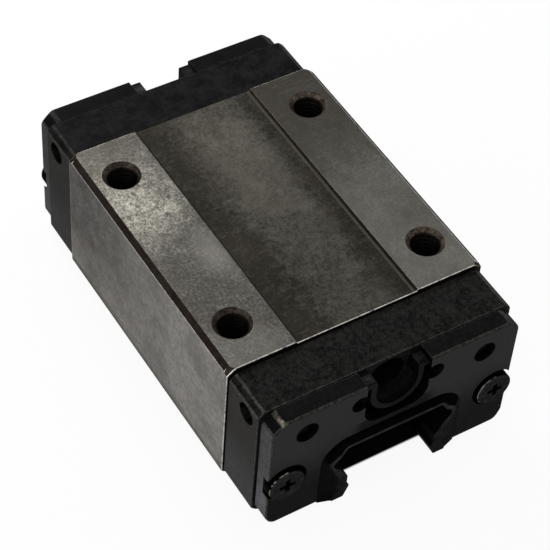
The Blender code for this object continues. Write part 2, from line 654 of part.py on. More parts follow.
def cutout_outline():
    """The plate's cut-out round the collar: an open top, two ears and a floor with round corners."""
    half = CUTOUT_HALF_WIDTH
    ear = (half + EAR_OUTSIDE_CUTOUT, NIPPLE_DEPTH)
    turn = math.degrees(math.acos(-EAR_OUTSIDE_CUTOUT / EAR_RADIUS))
    corner = (half - CUTOUT_CORNER_RADIUS, CUTOUT_DEPTH - CUTOUT_CORNER_RADIUS)
    right = [(half, PLATE_BELOW_TOP - OVERSHOOT)]
    right += arc(ear, EAR_RADIUS, -turn, turn, GROOVE_STEPS)
    right += arc(corner, CUTOUT_CORNER_RADIUS, 0, 90, CORNER_STEPS)
    return mirrored([(0.0, PLATE_BELOW_TOP - OVERSHOOT), *right, (0.0, CUTOUT_DEPTH)])


def seal_plate(end, finish):
    name = ENDS[end]
    halfway = PLATE_EDGE_ROUND * (1 - math.cos(math.pi / 4))
    stations = [
        (PLATE_INNER, 0.0),
        (PLATE_OUTER - PLATE_EDGE_ROUND, 0.0),
        (PLATE_OUTER - halfway, halfway),
        (PLATE_OUTER, PLATE_EDGE_ROUND),
    ]
    rings = [section(end * x, plate_outline(inset)) for x, inset in stations]
    plate = loft(f"seal_plate_{name}", rings, finish)
    span = (end * (PLATE_INNER - OVERSHOOT), end * (PLATE_OUTER + OVERSHOOT))
    opening = opening_outline()
    opening[-1] = (opening[-1][0], opening[-1][1] + OVERSHOOT)
    opening.append((0.0, opening[-1][1]))
    tools = [
        prism(f"rail_opening_{name}", mirrored(opening), *span),
        prism(f"nipple_cutout_{name}", cutout_outline(), *span),
    ]
    for side in SIDES:
        label = f"{name}_{SIDES[side]}"
        peg = (side * PEG_SPACING / 2, PEG_BELOW_TOP, PEG_HOLE_DIAMETER / 2)
        screw = (side * SCREW_Y, SCREW_DEPTH)
        pocket = (end * (PLATE_OUTER - SCREW_POCKET_DEPTH), end * (PLATE_OUTER + OVERSHOOT))
        tools.append(x_hole(f"peg_hole_{label}", *peg, *span))
        shank = x_hole(f"plate_screw_hole_{label}", *screw, SCREW_HOLE_RADIUS, *span, SHANK_HOLE_SIDES)
        tools.append(shank)
        tools.append(x_hole(f"screw_pocket_{label}", *screw, SCREW_POCKET_DIAMETER / 2, *pocket))
    boolean(plate, "DIFFERENCE", tools)
    return plate


def seal_lip(end, finish):
    """The rubber seal: a strip carried round the rail's outline, with a ridge along its inner
    edge. Over the rail a recess lies beside the ridge. The legs have none, and slope from the
    wider ridge to the plate's face."""
    inner = np.array(seal_outline())
    lengths = np.hypot(*np.diff(inner, axis=0).T)
    shares = np.concatenate([[0.0], np.cumsum(lengths)]) / lengths.sum()
    outer = resampled(opening_outline(JOINT_GAP), shares)
    across = (outer - inner) / np.linalg.norm(outer - inner, axis=1, keepdims=True)
    down = np.clip((inner[:, 1] - UPPER_ROW_DEPTH) / (CAP_FOOT_DEPTH - UPPER_ROW_DEPTH), 0.0, 1.0)
    width = LIP_WIDTH_ON_TOP + (LIP_WIDTH_AT_FOOT - LIP_WIDTH_ON_TOP) * down
    on_leg = np.clip((inner[:, 1] - UPPER_ROW_DEPTH) / (ROW_SPACING / 2), 0.0, 1.0) ** 2
    floor = PLATE_OUTER - LIP_RECESS * (1.0 - on_leg)
    lip = PLATE_OUTER + LIP_PROUD
    rings = []
    for i, o, a, w, x, leg in zip(inner, outer, across, width, floor, on_leg):
        ridge, edge = i + w * a, i + (w - LIP_EDGE) * a
        beside = x + leg * (LIP_PROUD - LIP_EDGE)
        steps = [(PLATE_INNER, o), (x, o), (beside, ridge), (lip, edge), (lip, i), (PLATE_INNER, i)]
        rings.append([(end * x_step, y, TOP_Z - depth) for x_step, (y, depth) in steps])
    right = np.array(rings)
    left = right[:0:-1] * (1, -1, 1)
    return loft(f"seal_lip_{ENDS[end]}", np.concatenate([left, right]), finish)


def end_screw(end, side, finish):
    name = f"{ENDS[end]}_{SIDES[side]}"
    under = PLATE_OUTER - SCREW_POCKET_DEPTH + JOINT_GAP / 2
    tip = BLOCK_END - SCREW_IN_BLOCK
    length = under - tip
    thread, head = SCREW_DIAMETER / 2, SCREW_HEAD_DIAMETER / 2
    profile = [
        (0.0, thread - SCREW_TIP_CHAMFER),
        (SCREW_TIP_CHAMFER, thread),
        (length, thread),
        (length, head),
        (length + SCREW_HEAD_HEIGHT - SCREW_CROWN_HEIGHT, head),
        (length + SCREW_HEAD_HEIGHT, head - SCREW_CROWN_WIDTH),
    ]
    foot = (end * tip, side * SCREW_Y, TOP_Z - SCREW_DEPTH)
    screw = turned(f"end_screw_{name}", foot, (end, 0, 0), profile, SCREW_SIDES, finish)
    arm, bar = CROSS_SPAN / 2, CROSS_WIDTH / 2
    corner = [(arm, -bar), (arm, bar), (bar, bar)]
    cross = []
    for quarter in range(4):
        c, s = round(math.cos(quarter * math.pi / 2)), round(math.sin(quarter * math.pi / 2))
        cross += [(c * y - s * d, s * y + c * d) for y, d in corner]
    outline = [(side * SCREW_Y + y, SCREW_DEPTH + d) for y, d in cross]
    top = under + SCREW_HEAD_HEIGHT
    recess = prism(f"cross_{name}", outline, end * (top - CROSS_DEPTH), end * (top + OVERSHOOT))
    boolean(screw, "DIFFERENCE", [recess])
    return screw


def top_retainer(finish):
    """The plate under the channel's roof, whose down-turned edges hold the upper balls."""
    top = ROOF_DEPTH + RETAINER_GAP
    bottom = top + RETAINER_THICKNESS
    edge = ROW_Y - PASSAGE_RADIUS
    foot = UPPER_ROW_DEPTH + RETAINER_EDGE_BELOW_ROW
    half = [
        (0.0, top),
        (edge - RETAINER_CORNER, top),
        (edge, UPPER_ROW_DEPTH - RETAINER_EDGE_ABOVE_ROW),
        (edge, foot),
        (edge - RETAINER_EDGE_THICKNESS, foot),
        (edge - RETAINER_BEND, bottom),
        (0.0, bottom),
    ]
    return prism("ball_retainer_top", mirrored(half), -BLOCK_END, BLOCK_END, finish)


def middle_retainer(side, finish):
    """The strip between the two loaded rows, which keeps both from dropping out."""
    inner = RAIL_WIDTH / 2 + RETAINER_GAP
    outer = ROW_WALL_Y - RETAINER_GAP
    top = UPPER_ROW_DEPTH + PASSAGE_RADIUS + MIDDLE_RETAINER_GAP
    bottom = LOWER_ROW_DEPTH - PASSAGE_RADIUS - MIDDLE_RETAINER_GAP
    edge = MIDDLE_RETAINER_EDGE
    outline = [
        (inner, top + edge),
        (inner + edge / 2, top),
        (outer, top),
        (outer, bottom),
        (inner + edge / 2, bottom),
        (inner, bottom - edge),
    ]
    name = f"ball_retainer_middle_{SIDES[side]}"
    return prism(name, at_side(side, outline), -BLOCK_END, BLOCK_END, finish)


def lower_retainer(side, finish):
    """The strip on the leg below the lower row, hollowed to the balls."""
    outer = LEG_Y - RETAINER_GAP
    inner = outer - LOWER_RETAINER_WIDTH
    top = LOWER_ROW_DEPTH + LOWER_RETAINER_TOP_BELOW_ROW
    bottom = seal_slot()[0] - LOWER_RETAINER_ABOVE_SLOT
    lower = (ROW_Y, LOWER_ROW_DEPTH)
    last = 90 + math.degrees(math.asin((ROW_Y - outer) / PASSAGE_RADIUS))
    hollow = arc(lower, PASSAGE_RADIUS, LOWER_RETAINER_HOLLOW_START, last, HOLLOW_STEPS)
    outline = [(inner, top), *hollow, (outer, bottom), (inner, bottom)]
    name = f"ball_retainer_lower_{SIDES[side]}"
    return prism(name, at_side(side, outline), -BLOCK_END, BLOCK_END, finish)


def bottom_seal(side, finish):
    """The strip seal in the leg's slot, whose thin lip reaches the rail's side."""
    top, bottom = seal_slot()
    top, bottom = top + RETAINER_GAP, bottom - RETAINER_GAP
    root = LEG_Y + BOTTOM_SEAL_REACH
    inner = SEAL_WAIST_HALF_WIDTH
    lip = inner + BOTTOM_SEAL_LIP_LENGTH
    outline = [
        (root, top),
        (root, bottom),
        (lip, bottom),
        (inner, bottom + BOTTOM_SEAL_LIP_HANG),
        (inner, bottom),
        (lip + BOTTOM_SEAL_LIP_SLOPE, top),
    ]
    name = f"bottom_seal_{SIDES[side]}"
    return prism(name, at_side(side, outline), -BLOCK_END, BLOCK_END, finish)


def build():
    clear_scene()
    ground_steel = material("ground_steel", (0.42, 0.41, 0.38), 0.42, 1.0)
    cap_plastic = material("cap_plastic", (0.035, 0.035, 0.037), 0.55, 0.0)
    guide_plastic = material("guide_plastic", (0.06, 0.06, 0.065), 0.5, 0.0)
    seal_steel = material("seal_steel", (0.02, 0.02, 0.021), 0.5, 0.3)
    seal_rubber = material("seal_rubber", (0.012, 0.012, 0.013), 0.6, 0.0)
    screw_steel = material("screw_steel", (0.12, 0.12, 0.12), 0.4, 1.0)
    ball_steel = material("ball_steel", (0.6, 0.6, 0.6), 0.15, 1.0)
    retainer_plastic = material("retainer_plastic", (0.05, 0.05, 0.05), 0.5, 0.0)

    circuits = [Circuit(side, level) for side in SIDES for level in LEVELS]
    passages = {(end, circuit.name): passage(circuit, end) for end in ENDS for circuit in circuits}
    steel_block(ground_steel, circuits)
    for end in ENDS:
        end_cap(end, circuits, passages, cap_plastic)
        seal_plate(end, seal_steel)
        seal_lip(end, seal_rubber)
        for side in SIDES:
            beside = [circuit for circuit in circuits if circuit.side == side]
            return_guide(end, side, beside, passages, guide_plastic)
            end_screw(end, side, screw_steel)
    top_retainer(retainer_plastic)
    for side in SIDES:
        middle_retainer(side, retainer_plastic)
        lower_retainer(side, retainer_plastic)
        bottom_seal(side, seal_rubber)
    shown = (50, 90, 130)
    hidden = (60, 120)
    for circuit in circuits:
        name = circuit.name
        straight_balls(f"loaded_balls_{name}", circuit, circuit.loaded, shown, LOADED_SIDES, ball_steel)
        straight_balls(f"return_balls_{name}", circuit, circuit.returning, hidden, HIDDEN_SIDES, ball_steel)
        for end in ENDS:
            turn_balls(f"turn_balls_{ENDS[end]}_{name}", circuit, end, hidden, HIDDEN_SIDES, ball_steel)


build()
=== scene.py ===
"""The look of a low ball carriage for a profile rail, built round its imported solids.

Sizes are in millimetres and repeat the part's own. X runs along the rail, Y across it and Z up.
A cross section is a list of (y, depth) points, with depth down from the top of the lands. An end
is +1 (front) or -1 (rear), a side -1 (left) or +1 (right), and a level +1 (upper ball circuit)
or -1 (lower ball circuit).
"""

import math

import bmesh
import bpy
import numpy as np
from mathutils import Matrix


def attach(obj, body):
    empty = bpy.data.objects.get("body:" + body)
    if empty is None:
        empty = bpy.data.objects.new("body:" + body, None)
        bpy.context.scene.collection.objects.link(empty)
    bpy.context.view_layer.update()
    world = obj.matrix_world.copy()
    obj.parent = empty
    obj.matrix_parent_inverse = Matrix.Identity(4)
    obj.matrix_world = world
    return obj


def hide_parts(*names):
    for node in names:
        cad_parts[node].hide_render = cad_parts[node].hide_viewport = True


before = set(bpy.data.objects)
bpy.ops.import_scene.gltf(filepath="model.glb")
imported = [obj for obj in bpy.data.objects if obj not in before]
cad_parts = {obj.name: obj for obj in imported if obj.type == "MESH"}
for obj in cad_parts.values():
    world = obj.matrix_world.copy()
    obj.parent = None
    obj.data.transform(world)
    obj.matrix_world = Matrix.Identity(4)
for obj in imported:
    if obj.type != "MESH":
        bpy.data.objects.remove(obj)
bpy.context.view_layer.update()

MM = 0.001
TOP = 23.2
# How far a cutter reaches past what it cuts
BEYOND = 1.0

# Ball circuits
BALL_PITCH = math.sqrt(3.5**2 - 0.6**2)
BALL_GAP = 0.004
BALLS_PER_ROW = 14
BALLS_PER_TURN = 3
TURN_RADIUS = BALL_PITCH
TURN_X = BALLS_PER_ROW * BALL_PITCH / 2
TILT = math.radians(15)
ROW_Y = 10.25
ROW_DEPTHS = {1: 12.1, -1: 17.5}
PASSAGE_RADIUS = 1.85

# Steel block
BLOCK_END = 23.15
HALF_WIDTH = 21.0
BLOCK_HEIGHT = 23.0
BAND_Y = 9.9
BAND_RECESS = 0.3
TOP_CHAMFER = 0.8
FOOT_CHAMFER = 0.5
LEG_Y = 9.95
SLOT_Y = 11.4
SLOT_DEPTHS = (21.3, 22.3)
ROOF_ABOVE_ROW = 0.9
ROW_WALL_OUTSIDE_ROW = 0.7
BLOCK_RADII = (0.1, 0.14, 0.16, 0.16, 0.2, 0.2, 0.2, 0.05, 0.05, 0.05, 0.05)
BLOCK_EDGE = 0.12
LAND_CORNER = 1.1

# Tapped table holes, M5
HOLE_SPACING = 32.0
THREAD_RADIUS = 2.15
THREAD_DEPTH = 0.32
THREAD_PITCH = 0.8
COUNTERSINK_RADIUS = 2.9
HOLE_DEPTH = 7.46
DRILL_TIP_HEIGHT = 0.6

# End caps
CAP_INNER = 23.3
CAP_OUTER = 30.95
CAP_Y = 20.75
CAP_TOP_DEPTH = 0.75
CAP_CHAMFER = 1.0
CAP_CORNER = 0.9
CAP_EDGES = (0.12, 0.25)
PORT_RADIUS = 1.7
PORT_CHAMFER = 0.65
PORT_DEPTH = 3.8
PORT_X = 27.95
PORT_LENGTH = 7.0
NIPPLE_DEPTH = 4.0
NIPPLE_RADIUS = 2.7
NIPPLE_BORE = 5.5
COLLAR_RADII = (3.4, 4.3)
COLLAR_HEAD_Y = 5.05
COLLAR_HEAD_DEPTHS = (1.45, 2.1)
COLLAR_CORNERS = (0.1, 0.12, 0.12, 0.12)
COLLAR_FACE = 33.6
PEG_Y = 14.6
PEG_DEPTH = 4.85
PEG_RADIUS = 1.5
PEG_FACE = 33.0
PEG_EDGE = 0.3

# Seal plates
PLATE_INNER = 31.1
PLATE_OUTER = 34.0
PLATE_Y = 20.3
PLATE_TOP_DEPTH = 0.8
PLATE_TOP_CORNER = 1.75
PLATE_FOOT_CORNER = (0.9, 2.0)
PLATE_CORNER = 1.5
PLATE_EDGES = (0.1, 0.45)
PEG_HOLE_RADIUS = 1.75
CUTOUT_Y = 5.25
CUTOUT_DEPTH = 9.3
CUTOUT_CORNER = 2.6
EAR_Y = 6.1
EAR_RADIUS = 1.45
ARCH_Y = 11.75
ARCH_DEPTH = 10.3
ARCH_CORNER = 4.5

# End screws
SCREW_Y = 17.45
SCREW_DEPTH = 14.45
SCREW_RADIUS = 1.5
SCREW_PITCH = 0.5
SCREW_THREAD_DEPTH = 0.2
SCREW_TIP_CHAMFER = 0.45
SCREW_HOLE_RADIUS = 1.6
SCREW_TIP = 17.15
SCREW_SEAT = 32.775
HEAD_RADIUS = 2.875
HEAD_HEIGHT = 1.85
HEAD_EDGE = 0.08
HEAD_RIM_HEIGHT = 0.3
HEAD_RIM_WIDTH = 0.45
# Sections of the cross: height over the head, and an arm's length and half width
CROSS_LEVELS = ((-0.9, 0.62, 0.24), (-0.05, 1.26, 0.36), (0.4, 1.6, 0.5))
CROSS_CORNER = 0.07
POCKET_RADIUS = 3.35
POCKET_CHAMFER = 0.15
POCKET_FLOOR = 32.7

# End seals
SEAL_TOP_DEPTH = 11.85
SEAL_CORNER_Y = 7.89
SEAL_GROOVE_RADIUS = 1.9
SEAL_SHOULDER = ((9.95, 14.35), (9.95, 15.05))
SEAL_FOOT = ((7.35, 18.5), (7.35, 20.5), (6.85, 21.0), (7.75, TOP))
LIP_TOP_WIDTH = 0.75
LIP_FOOT_WIDTH = 2.1
LIP_FACE = 34.8
LIP_EDGE = 0.2
LIP_RECESS = 1.2
LIP_RISE = 2.7
LIP_RADII = (0.03, 0.05, 0.08, 0.07, 0.07, 0.03)
SEAL_GAP = 0.03

ENDS = {1: "front", -1: "rear"}
SIDES = {-1: "left", 1: "right"}
LEVELS = {1: "upper", -1: "lower"}

# Stage and camera
FLOOR_HALF = 2500.0
FLOOR_DROP = 0.02
WHITE = (1.0, 1.0, 1.0, 1.0)
CAMERA_LENS = 130.74
CAMERA_PLACE = (164.29, -112.13, 232.75)
CAMERA_RIGHT = (0.51622, 0.85471, 0.0546)
CAMERA_AHEAD = (-0.54614, 0.37762, -0.74776)


# Shapes as arrays. A solid is (points, faces), where faces is a list of arrays of point numbers.


def unit(vectors):
    return vectors / np.linalg.norm(vectors, axis=-1, keepdims=True)


def arc(centre, radius, start, end, steps):
    """Points at even angles on a circle, in degrees from +y towards greater depth."""
    angles = np.radians(np.linspace(start, end, steps + 1))
    return np.asarray(centre) + radius * np.stack([np.cos(angles), np.sin(angles)], axis=-1)


def rounded(points, radii, steps=5):
    """A polyline, or a stack of them, with arcs for its inner corners and without its two ends.

    An arc touches both sides of its corner. It starts radius / tan(half the corner's angle)
    before the corner, and its centre lies radius / sin(half the angle) along the bisector. Its
    points swing evenly from the first touching point to the last."""
    points = np.asarray(points, float)
    corner = points[..., 1:-1, :]
    back = unit(points[..., :-2, :] - corner)
    ahead = unit(points[..., 2:, :] - corner)
    half = np.arccos(np.clip((back * ahead).sum(-1), -0.999999, 0.999999)) / 2
    touch = (radii / np.tan(half))[..., None]
    centre = corner + unit(back + ahead) * (radii / np.sin(half))[..., None]
    first = (corner + back * touch - centre)[..., None, :]
    last = (corner + ahead * touch - centre)[..., None, :]
    sweep = (math.pi - 2 * half)[..., None]
    share = np.linspace(0, 1, steps + 1)
    from_first = (np.sin((1 - share) * sweep) / np.sin(sweep))[..., None]
    from_last = (np.sin(share * sweep) / np.sin(sweep))[..., None]
    arcs = centre[..., None, :] + from_first * first + from_last * last
    return arcs.reshape(*points.shape[:-2], -1, 2)


def closed_round(points, radii, steps=5):
    """A closed outline with its corners rounded."""
    points = np.asarray(points, float)
    wrapped = np.concatenate([points[..., -1:, :], points, points[..., :1, :]], axis=-2)
    return rounded(wrapped, radii, steps)


def mirrored(right):
    """A closed outline from its right half, followed by the half's mirror image, walked back."""
    right = np.asarray(right, float)
    return np.concatenate([right, right[::-1] * (-1, 1)])


def inset(outline, amount):
    """A closed outline with each point moved inwards along the mean of its two sides' normals."""
    ahead = unit(np.roll(outline, -1, axis=0) - outline)
    tangent = unit(ahead + np.roll(ahead, 1, axis=0))
    y, depth = outline.T
    turning = np.sign((y * np.roll(depth, -1) - np.roll(y, -1) * depth).sum())
    inward = np.stack([-tangent[:, 1], tangent[:, 0]], axis=1) * turning
    return outline + inward * np.reshape(amount, (-1, 1))


def section(x, outline):
    """An outline of (y, depth) points as a ring across the rail at x."""
    y, depth = np.asarray(outline).T
    return np.stack([np.full(len(y), float(x)), y, TOP - depth], axis=1)


def skin(rings):
    """A closed solid: quads between neighbouring rings, and one face over each end ring."""
    rings = np.asarray(rings, float)
    count, size = rings.shape[:2]
    index = np.arange(count * size).reshape(count, size)
    near, far = index[:-1], index[1:]
    quads = np.stack([near, np.roll(near, -1, 1), np.roll(far, -1, 1), far], axis=-1)
    return rings.reshape(-1, 3), [quads.reshape(-1, 4), index[:1, ::-1], index[-1:]]


def together(solids):
    """Several solids as one."""
    starts = np.cumsum([0] + [len(points) for points, _ in solids])
    faces = [face + start for (_, found), start in zip(solids, starts) for face in found]
    return np.concatenate([points for points, _ in solids]), faces


def prism(outline, start, end):
    return skin([section(start, outline), section(end, outline)])


def soft_prism(outline, start, end, first, last, weights=1.0):
    """A cross section carried along x, with a quarter round of radius r along the edges at each
    end: at an angle a round it, the outline is r(1 - cos a) smaller and r(1 - sin a) short."""
    angles = np.radians((0, 30, 60, 90))
    smaller, shorter = 1 - np.cos(angles), 1 - np.sin(angles)
    sign = np.sign(end - start)
    places = [*(start + sign * first * shorter[::-1]), *(end - sign * last * shorter)]
    amounts = [*(first * smaller[::-1]), *(last * smaller)]
    return skin([section(x, inset(outline, a * weights)) for x, a in zip(places, amounts)])


def turns(sides):
    """Even angles round a full turn, from half a step on."""
    return (np.arange(sides) + 0.5) * 2 * math.pi / sides


def around(foot, axis, distances, radii, sides):
    """Rings about an axis: point = foot + distance * axis + radius * (cos a, sin a) across it."""
    axis = np.asarray(axis, float)
    across = np.array((0.0, 1.0, 0.0)) if abs(axis[1]) < 0.9 else np.array((1.0, 0.0, 0.0))
    angles = turns(sides)
    spokes = np.cos(angles)[:, None] * across + np.sin(angles)[:, None] * np.cross(axis, across)
    radii = np.broadcast_to(np.reshape(radii, (len(distances), -1)), (len(distances), sides))
    along = np.asarray(distances, float)[:, None, None] * axis
    return skin(np.asarray(foot, float) + along + radii[:, :, None] * spokes)


def x_round(y, depth, profile, sides, end=1):
    """A solid of revolution along X: the profile lists (x, radius)."""
    places, radii = np.array(profile, float).T
    return around((0, y, TOP - depth), (1, 0, 0), end * places, radii, sides)


def x_bore(y, depth, radius, start, stop, sides, end=1):
    return x_round(y, depth, [(start, radius), (stop, radius)], sides, end)


def thread(angles, distances, pitch, depth):
    """How far a thread rises: depth * (1.5 * zigzag - 0.2), held between none and the full
    depth, with a zigzag from 0 to 1 of (angle / one turn + distance / pitch)."""
    turn = (angles[None, :] / (2 * math.pi) + distances[:, None] / pitch) % 1.0
    return depth * np.clip(1.5 * np.abs(2 * turn - 1) - 0.2, 0, 1)


# Blender objects


def new_object(name, data):
    obj = bpy.data.objects.new(name, data)
    bpy.context.scene.collection.objects.link(obj)
    return obj


def put(name, solid):
    points, faces = solid
    mesh = bpy.data.meshes.new(name)
    mesh.from_pydata((points * MM).tolist(), [], [row for face in faces for row in face.tolist()])
    work = bmesh.new()
    work.from_mesh(mesh)
    bmesh.ops.recalc_face_normals(work, faces=work.faces)
    work.to_mesh(mesh)
    work.free()
    return new_object(name, mesh)


def carve(obj, operation, solids):
    """Joins solids to an object or cuts them out of it, all those that lie apart in one go."""
    for solid in solids:
        tool = solid if isinstance(solid, bpy.types.Object) else put("tool", solid)
        step = obj.modifiers.new("carve", "BOOLEAN")
        step.operation = operation
        step.solver = "EXACT"
        step.object = tool
        bpy.context.view_layer.update()
        carved = obj.evaluated_get(bpy.context.evaluated_depsgraph_get())
        mesh = bpy.data.meshes.new_from_object(carved)
        obj.modifiers.clear()
        obj.data = mesh
        bpy.data.objects.remove(tool)
    return obj


def soften(obj, degrees=32):
    """Smooth shading up to an angle, with each corner's normal weighted by its faces' areas."""
    obj.data.shade_smooth()
    obj.data.set_sharp_from_angle(angle=math.radians(degrees))
    weigh = obj.modifiers.new("weigh", "WEIGHTED_NORMAL")
    weigh.keep_sharp = True
    return obj


def dress(obj, node, body, finish):
    """Puts a piece in the place of its CAD node, on its body and in its finish."""
    obj.name = f"{node}_shape"
    obj.data.materials.clear()
    obj.data.materials.append(finish)
    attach(obj, body)
    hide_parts(node)


# Materials


def tone(red, green, blue):
    """A colour as it is seen, 0 to 255, as the linear values of a shader."""
    seen = np.array((red, green, blue)) / 255
    linear = np.where(seen > 0.04045, ((seen + 0.055) / 1.055) ** 2.4, seen / 12.92)
    return (*linear.tolist(), 1.0)


class Signal:
    """A socket's value, on which Python's operators add Math nodes."""

    def __init__(self, graph, socket):
        self.graph = graph
        self.socket = socket

    def math(self, operation, *values):
        settings = {"operation": operation}
        return self.graph.node("ShaderNodeMath", settings, dict(enumerate(values)))

    def __add__(self, other):
        return self.math("ADD", self, other)

    def __sub__(self, other):
        return self.math("SUBTRACT", self, other)

    def __rsub__(self, other):
        return self.math("SUBTRACT", other, self)

    def __mul__(self, other):
        return self.math("MULTIPLY", self, other)

    def __gt__(self, other):
        return self.math("GREATER_THAN", self, other)

    def __lt__(self, other):
        return self.math("LESS_THAN", self, other)

    def __abs__(self):
        return self.math("ABSOLUTE", self)

    __radd__ = __add__
    __rmul__ = __mul__

    def ease(self, low, high):
        """0 at low and 1 at high, with a smooth rise between them."""
        inputs = {"Value": self, "From Min": low, "From Max": high}
        return self.graph.node("ShaderNodeMapRange", {"interpolation_type": "SMOOTHSTEP"}, inputs)

    def between(self, low, high, rise):
        """1 from low to high, with a smooth rise before and a smooth fall after them."""
        return self.ease(low - rise, low) * (1 - self.ease(high, high + rise))

    def under(self, share, *seen):
        """This colour under a share of a seen tone."""
        return self.graph.mix(share, self, tone(*seen))


class Graph:
    """The node tree of a material or of the world."""

    def __init__(self, tree):
        self.tree = tree

    def node(self, kind, settings, inputs, output=0):
        """Adds a node. Its settings come first, then the values or links of its sockets."""
        made = self.tree.nodes.new(kind)
        for key, value in settings.items():
            setattr(made, key, value)
        for key, value in inputs.items():
            self.feed(made.inputs[key], value)
        return Signal(self, made.outputs[output])

    def feed(self, socket, value):
        if isinstance(value, Signal):
            self.tree.links.new(value.socket, socket)
        else:
            socket.default_value = value

    def larger(self, first, *others):
        for other in others:
            first = first.math("MAXIMUM", first, other)
        return first

    def length(self, first, second):
        """The length of a flat vector."""
        vector = self.node("ShaderNodeCombineXYZ", {}, {0: first, 1: second})
        return self.node("ShaderNodeVectorMath", {"operation": "LENGTH"}, {0: vector}, "Value")

    def split(self, vector):
        parts = self.node("ShaderNodeSeparateXYZ", {}, {"Vector": vector})
        return [Signal(self, socket) for socket in parts.socket.node.outputs]

    def mix(self, share, first, second):
        """The first colour where the share is 0, and the second where it is 1."""
        inputs = {0: share, 6: first, 7: second}
        return self.node("ShaderNodeMix", {"data_type": "RGBA"}, inputs, 2)

    def shown(self):
        """1 for the rays that show a backdrop: straight, in a reflection or through glass."""
        rays = self.node("ShaderNodeLightPath", {}, {}).socket.node.outputs
        kinds = ("Is Camera Ray", "Is Glossy Ray", "Is Transmission Ray")
        return self.larger(*(Signal(self, rays[kind]) for kind in kinds))

    def blend(self, share, first, second):
        """The first shader where the share is 0, and the second where it is 1."""
        return self.node("ShaderNodeMixShader", {}, {0: share, 1: first, 2: second})


class Finish(Graph):
    """A material with one Principled shader, whose patterns lie on Object coordinates in mm."""

    def __init__(self, name, **constants):
        self.material = bpy.data.materials.new(name)
        self.material.use_nodes = True
        super().__init__(self.material.node_tree)
        self.shader = self.tree.nodes["Principled BSDF"]
        for socket, value in constants.items():
            self.shader.inputs[socket.replace("_", " ")].default_value = value
        self.coordinates = self.node("ShaderNodeTexCoord", {}, {}, "Object")
        self.normal = self.node("ShaderNodeNewGeometry", {}, {}, "Normal")

    def place(self, stretch=(1.0, 1.0, 1.0), turn=(0.0, 0.0, 0.0)):
        """Object coordinates in millimetres, stretched and turned."""
        scale = tuple(share / MM for share in stretch)
        inputs = {"Vector": self.coordinates, "Rotation": turn, "Scale": scale}
        return self.node("ShaderNodeMapping", {}, inputs)

    def at(self):
        """x, y and z in millimetres."""
        return self.split(self.place())

    def facing(self):
        """The parts of the normal along x, y and z."""
        return self.split(self.normal)

    def noise(self, scale, detail, roughness, stretch=(1.0, 1.0, 1.0), turn=(0.0, 0.0, 0.0)):
        """Noise with so many swells a millimetre."""
        place = self.place(stretch, turn)
        inputs = {"Vector": place, "Scale": scale, "Detail": detail, "Roughness": roughness}
        return self.node("ShaderNodeTexNoise", {}, inputs)

    def edges(self, radius, low, high):
        """The normal rounded over sharp edges, and a mask that is 1 on those edges."""
        soft = self.node("ShaderNodeBevel", {"samples": 6}, {"Radius": radius * MM})
        inputs = {0: soft, 1: self.normal}
        turn = self.node("ShaderNodeVectorMath", {"operation": "DOT_PRODUCT"}, inputs, "Value")
        return soft, (1 - turn).ease(low, high)

    def show(self, colour, rough, grain, depth, normal):
        """Feeds the shader. The grain's height gives a bump of a depth in millimetres."""
        bump = {"Height": grain, "Distance": depth * MM, "Normal": normal}
        self.feed(self.shader.inputs["Base Color"], colour)
        self.feed(self.shader.inputs["Roughness"], rough)
        self.feed(self.shader.inputs["Normal"], self.node("ShaderNodeBump", {}, bump))
        return self.material


def band_colour(steel, noises):
    """Brownish, hazy along the middle, with a pale right ledge and a darker line along each edge.
    """
    x, y, _ = steel.at()
    blotch, mottle, speck, fine = noises
    haze = (1 - abs(y - 3.0).ease(3.0, 12.0)) * (1 - y.ease(4.5, 8.5) * 0.8)
    haze = haze * (0.5 + x.ease(-24.0, -12.0) * 0.25 - x.ease(-8.0, 12.0) * 0.3)
    haze = haze + blotch * 0.9 + mottle * 0.8 + speck * 1.4 + fine * 1.1 - 2.1
    colour = steel.mix(haze.ease(-0.1, 1.1), tone(27, 25, 20), tone(72, 70, 64))
    ledge = y.ease(BAND_Y - 0.7, BAND_Y - 0.6)
    colour = colour.under(ledge * 0.25, 96, 92, 84)
    # A darker line along each edge, fading at the ends
    dark_edge_line = abs(y).ease(BAND_Y - 0.32, BAND_Y - 0.2)
    dark_edge_line = dark_edge_line * (1 - abs(x).ease(BLOCK_END - 0.4, BLOCK_END - 0.2))
    return colour.under(dark_edge_line * 0.9, 9, 7, 5)


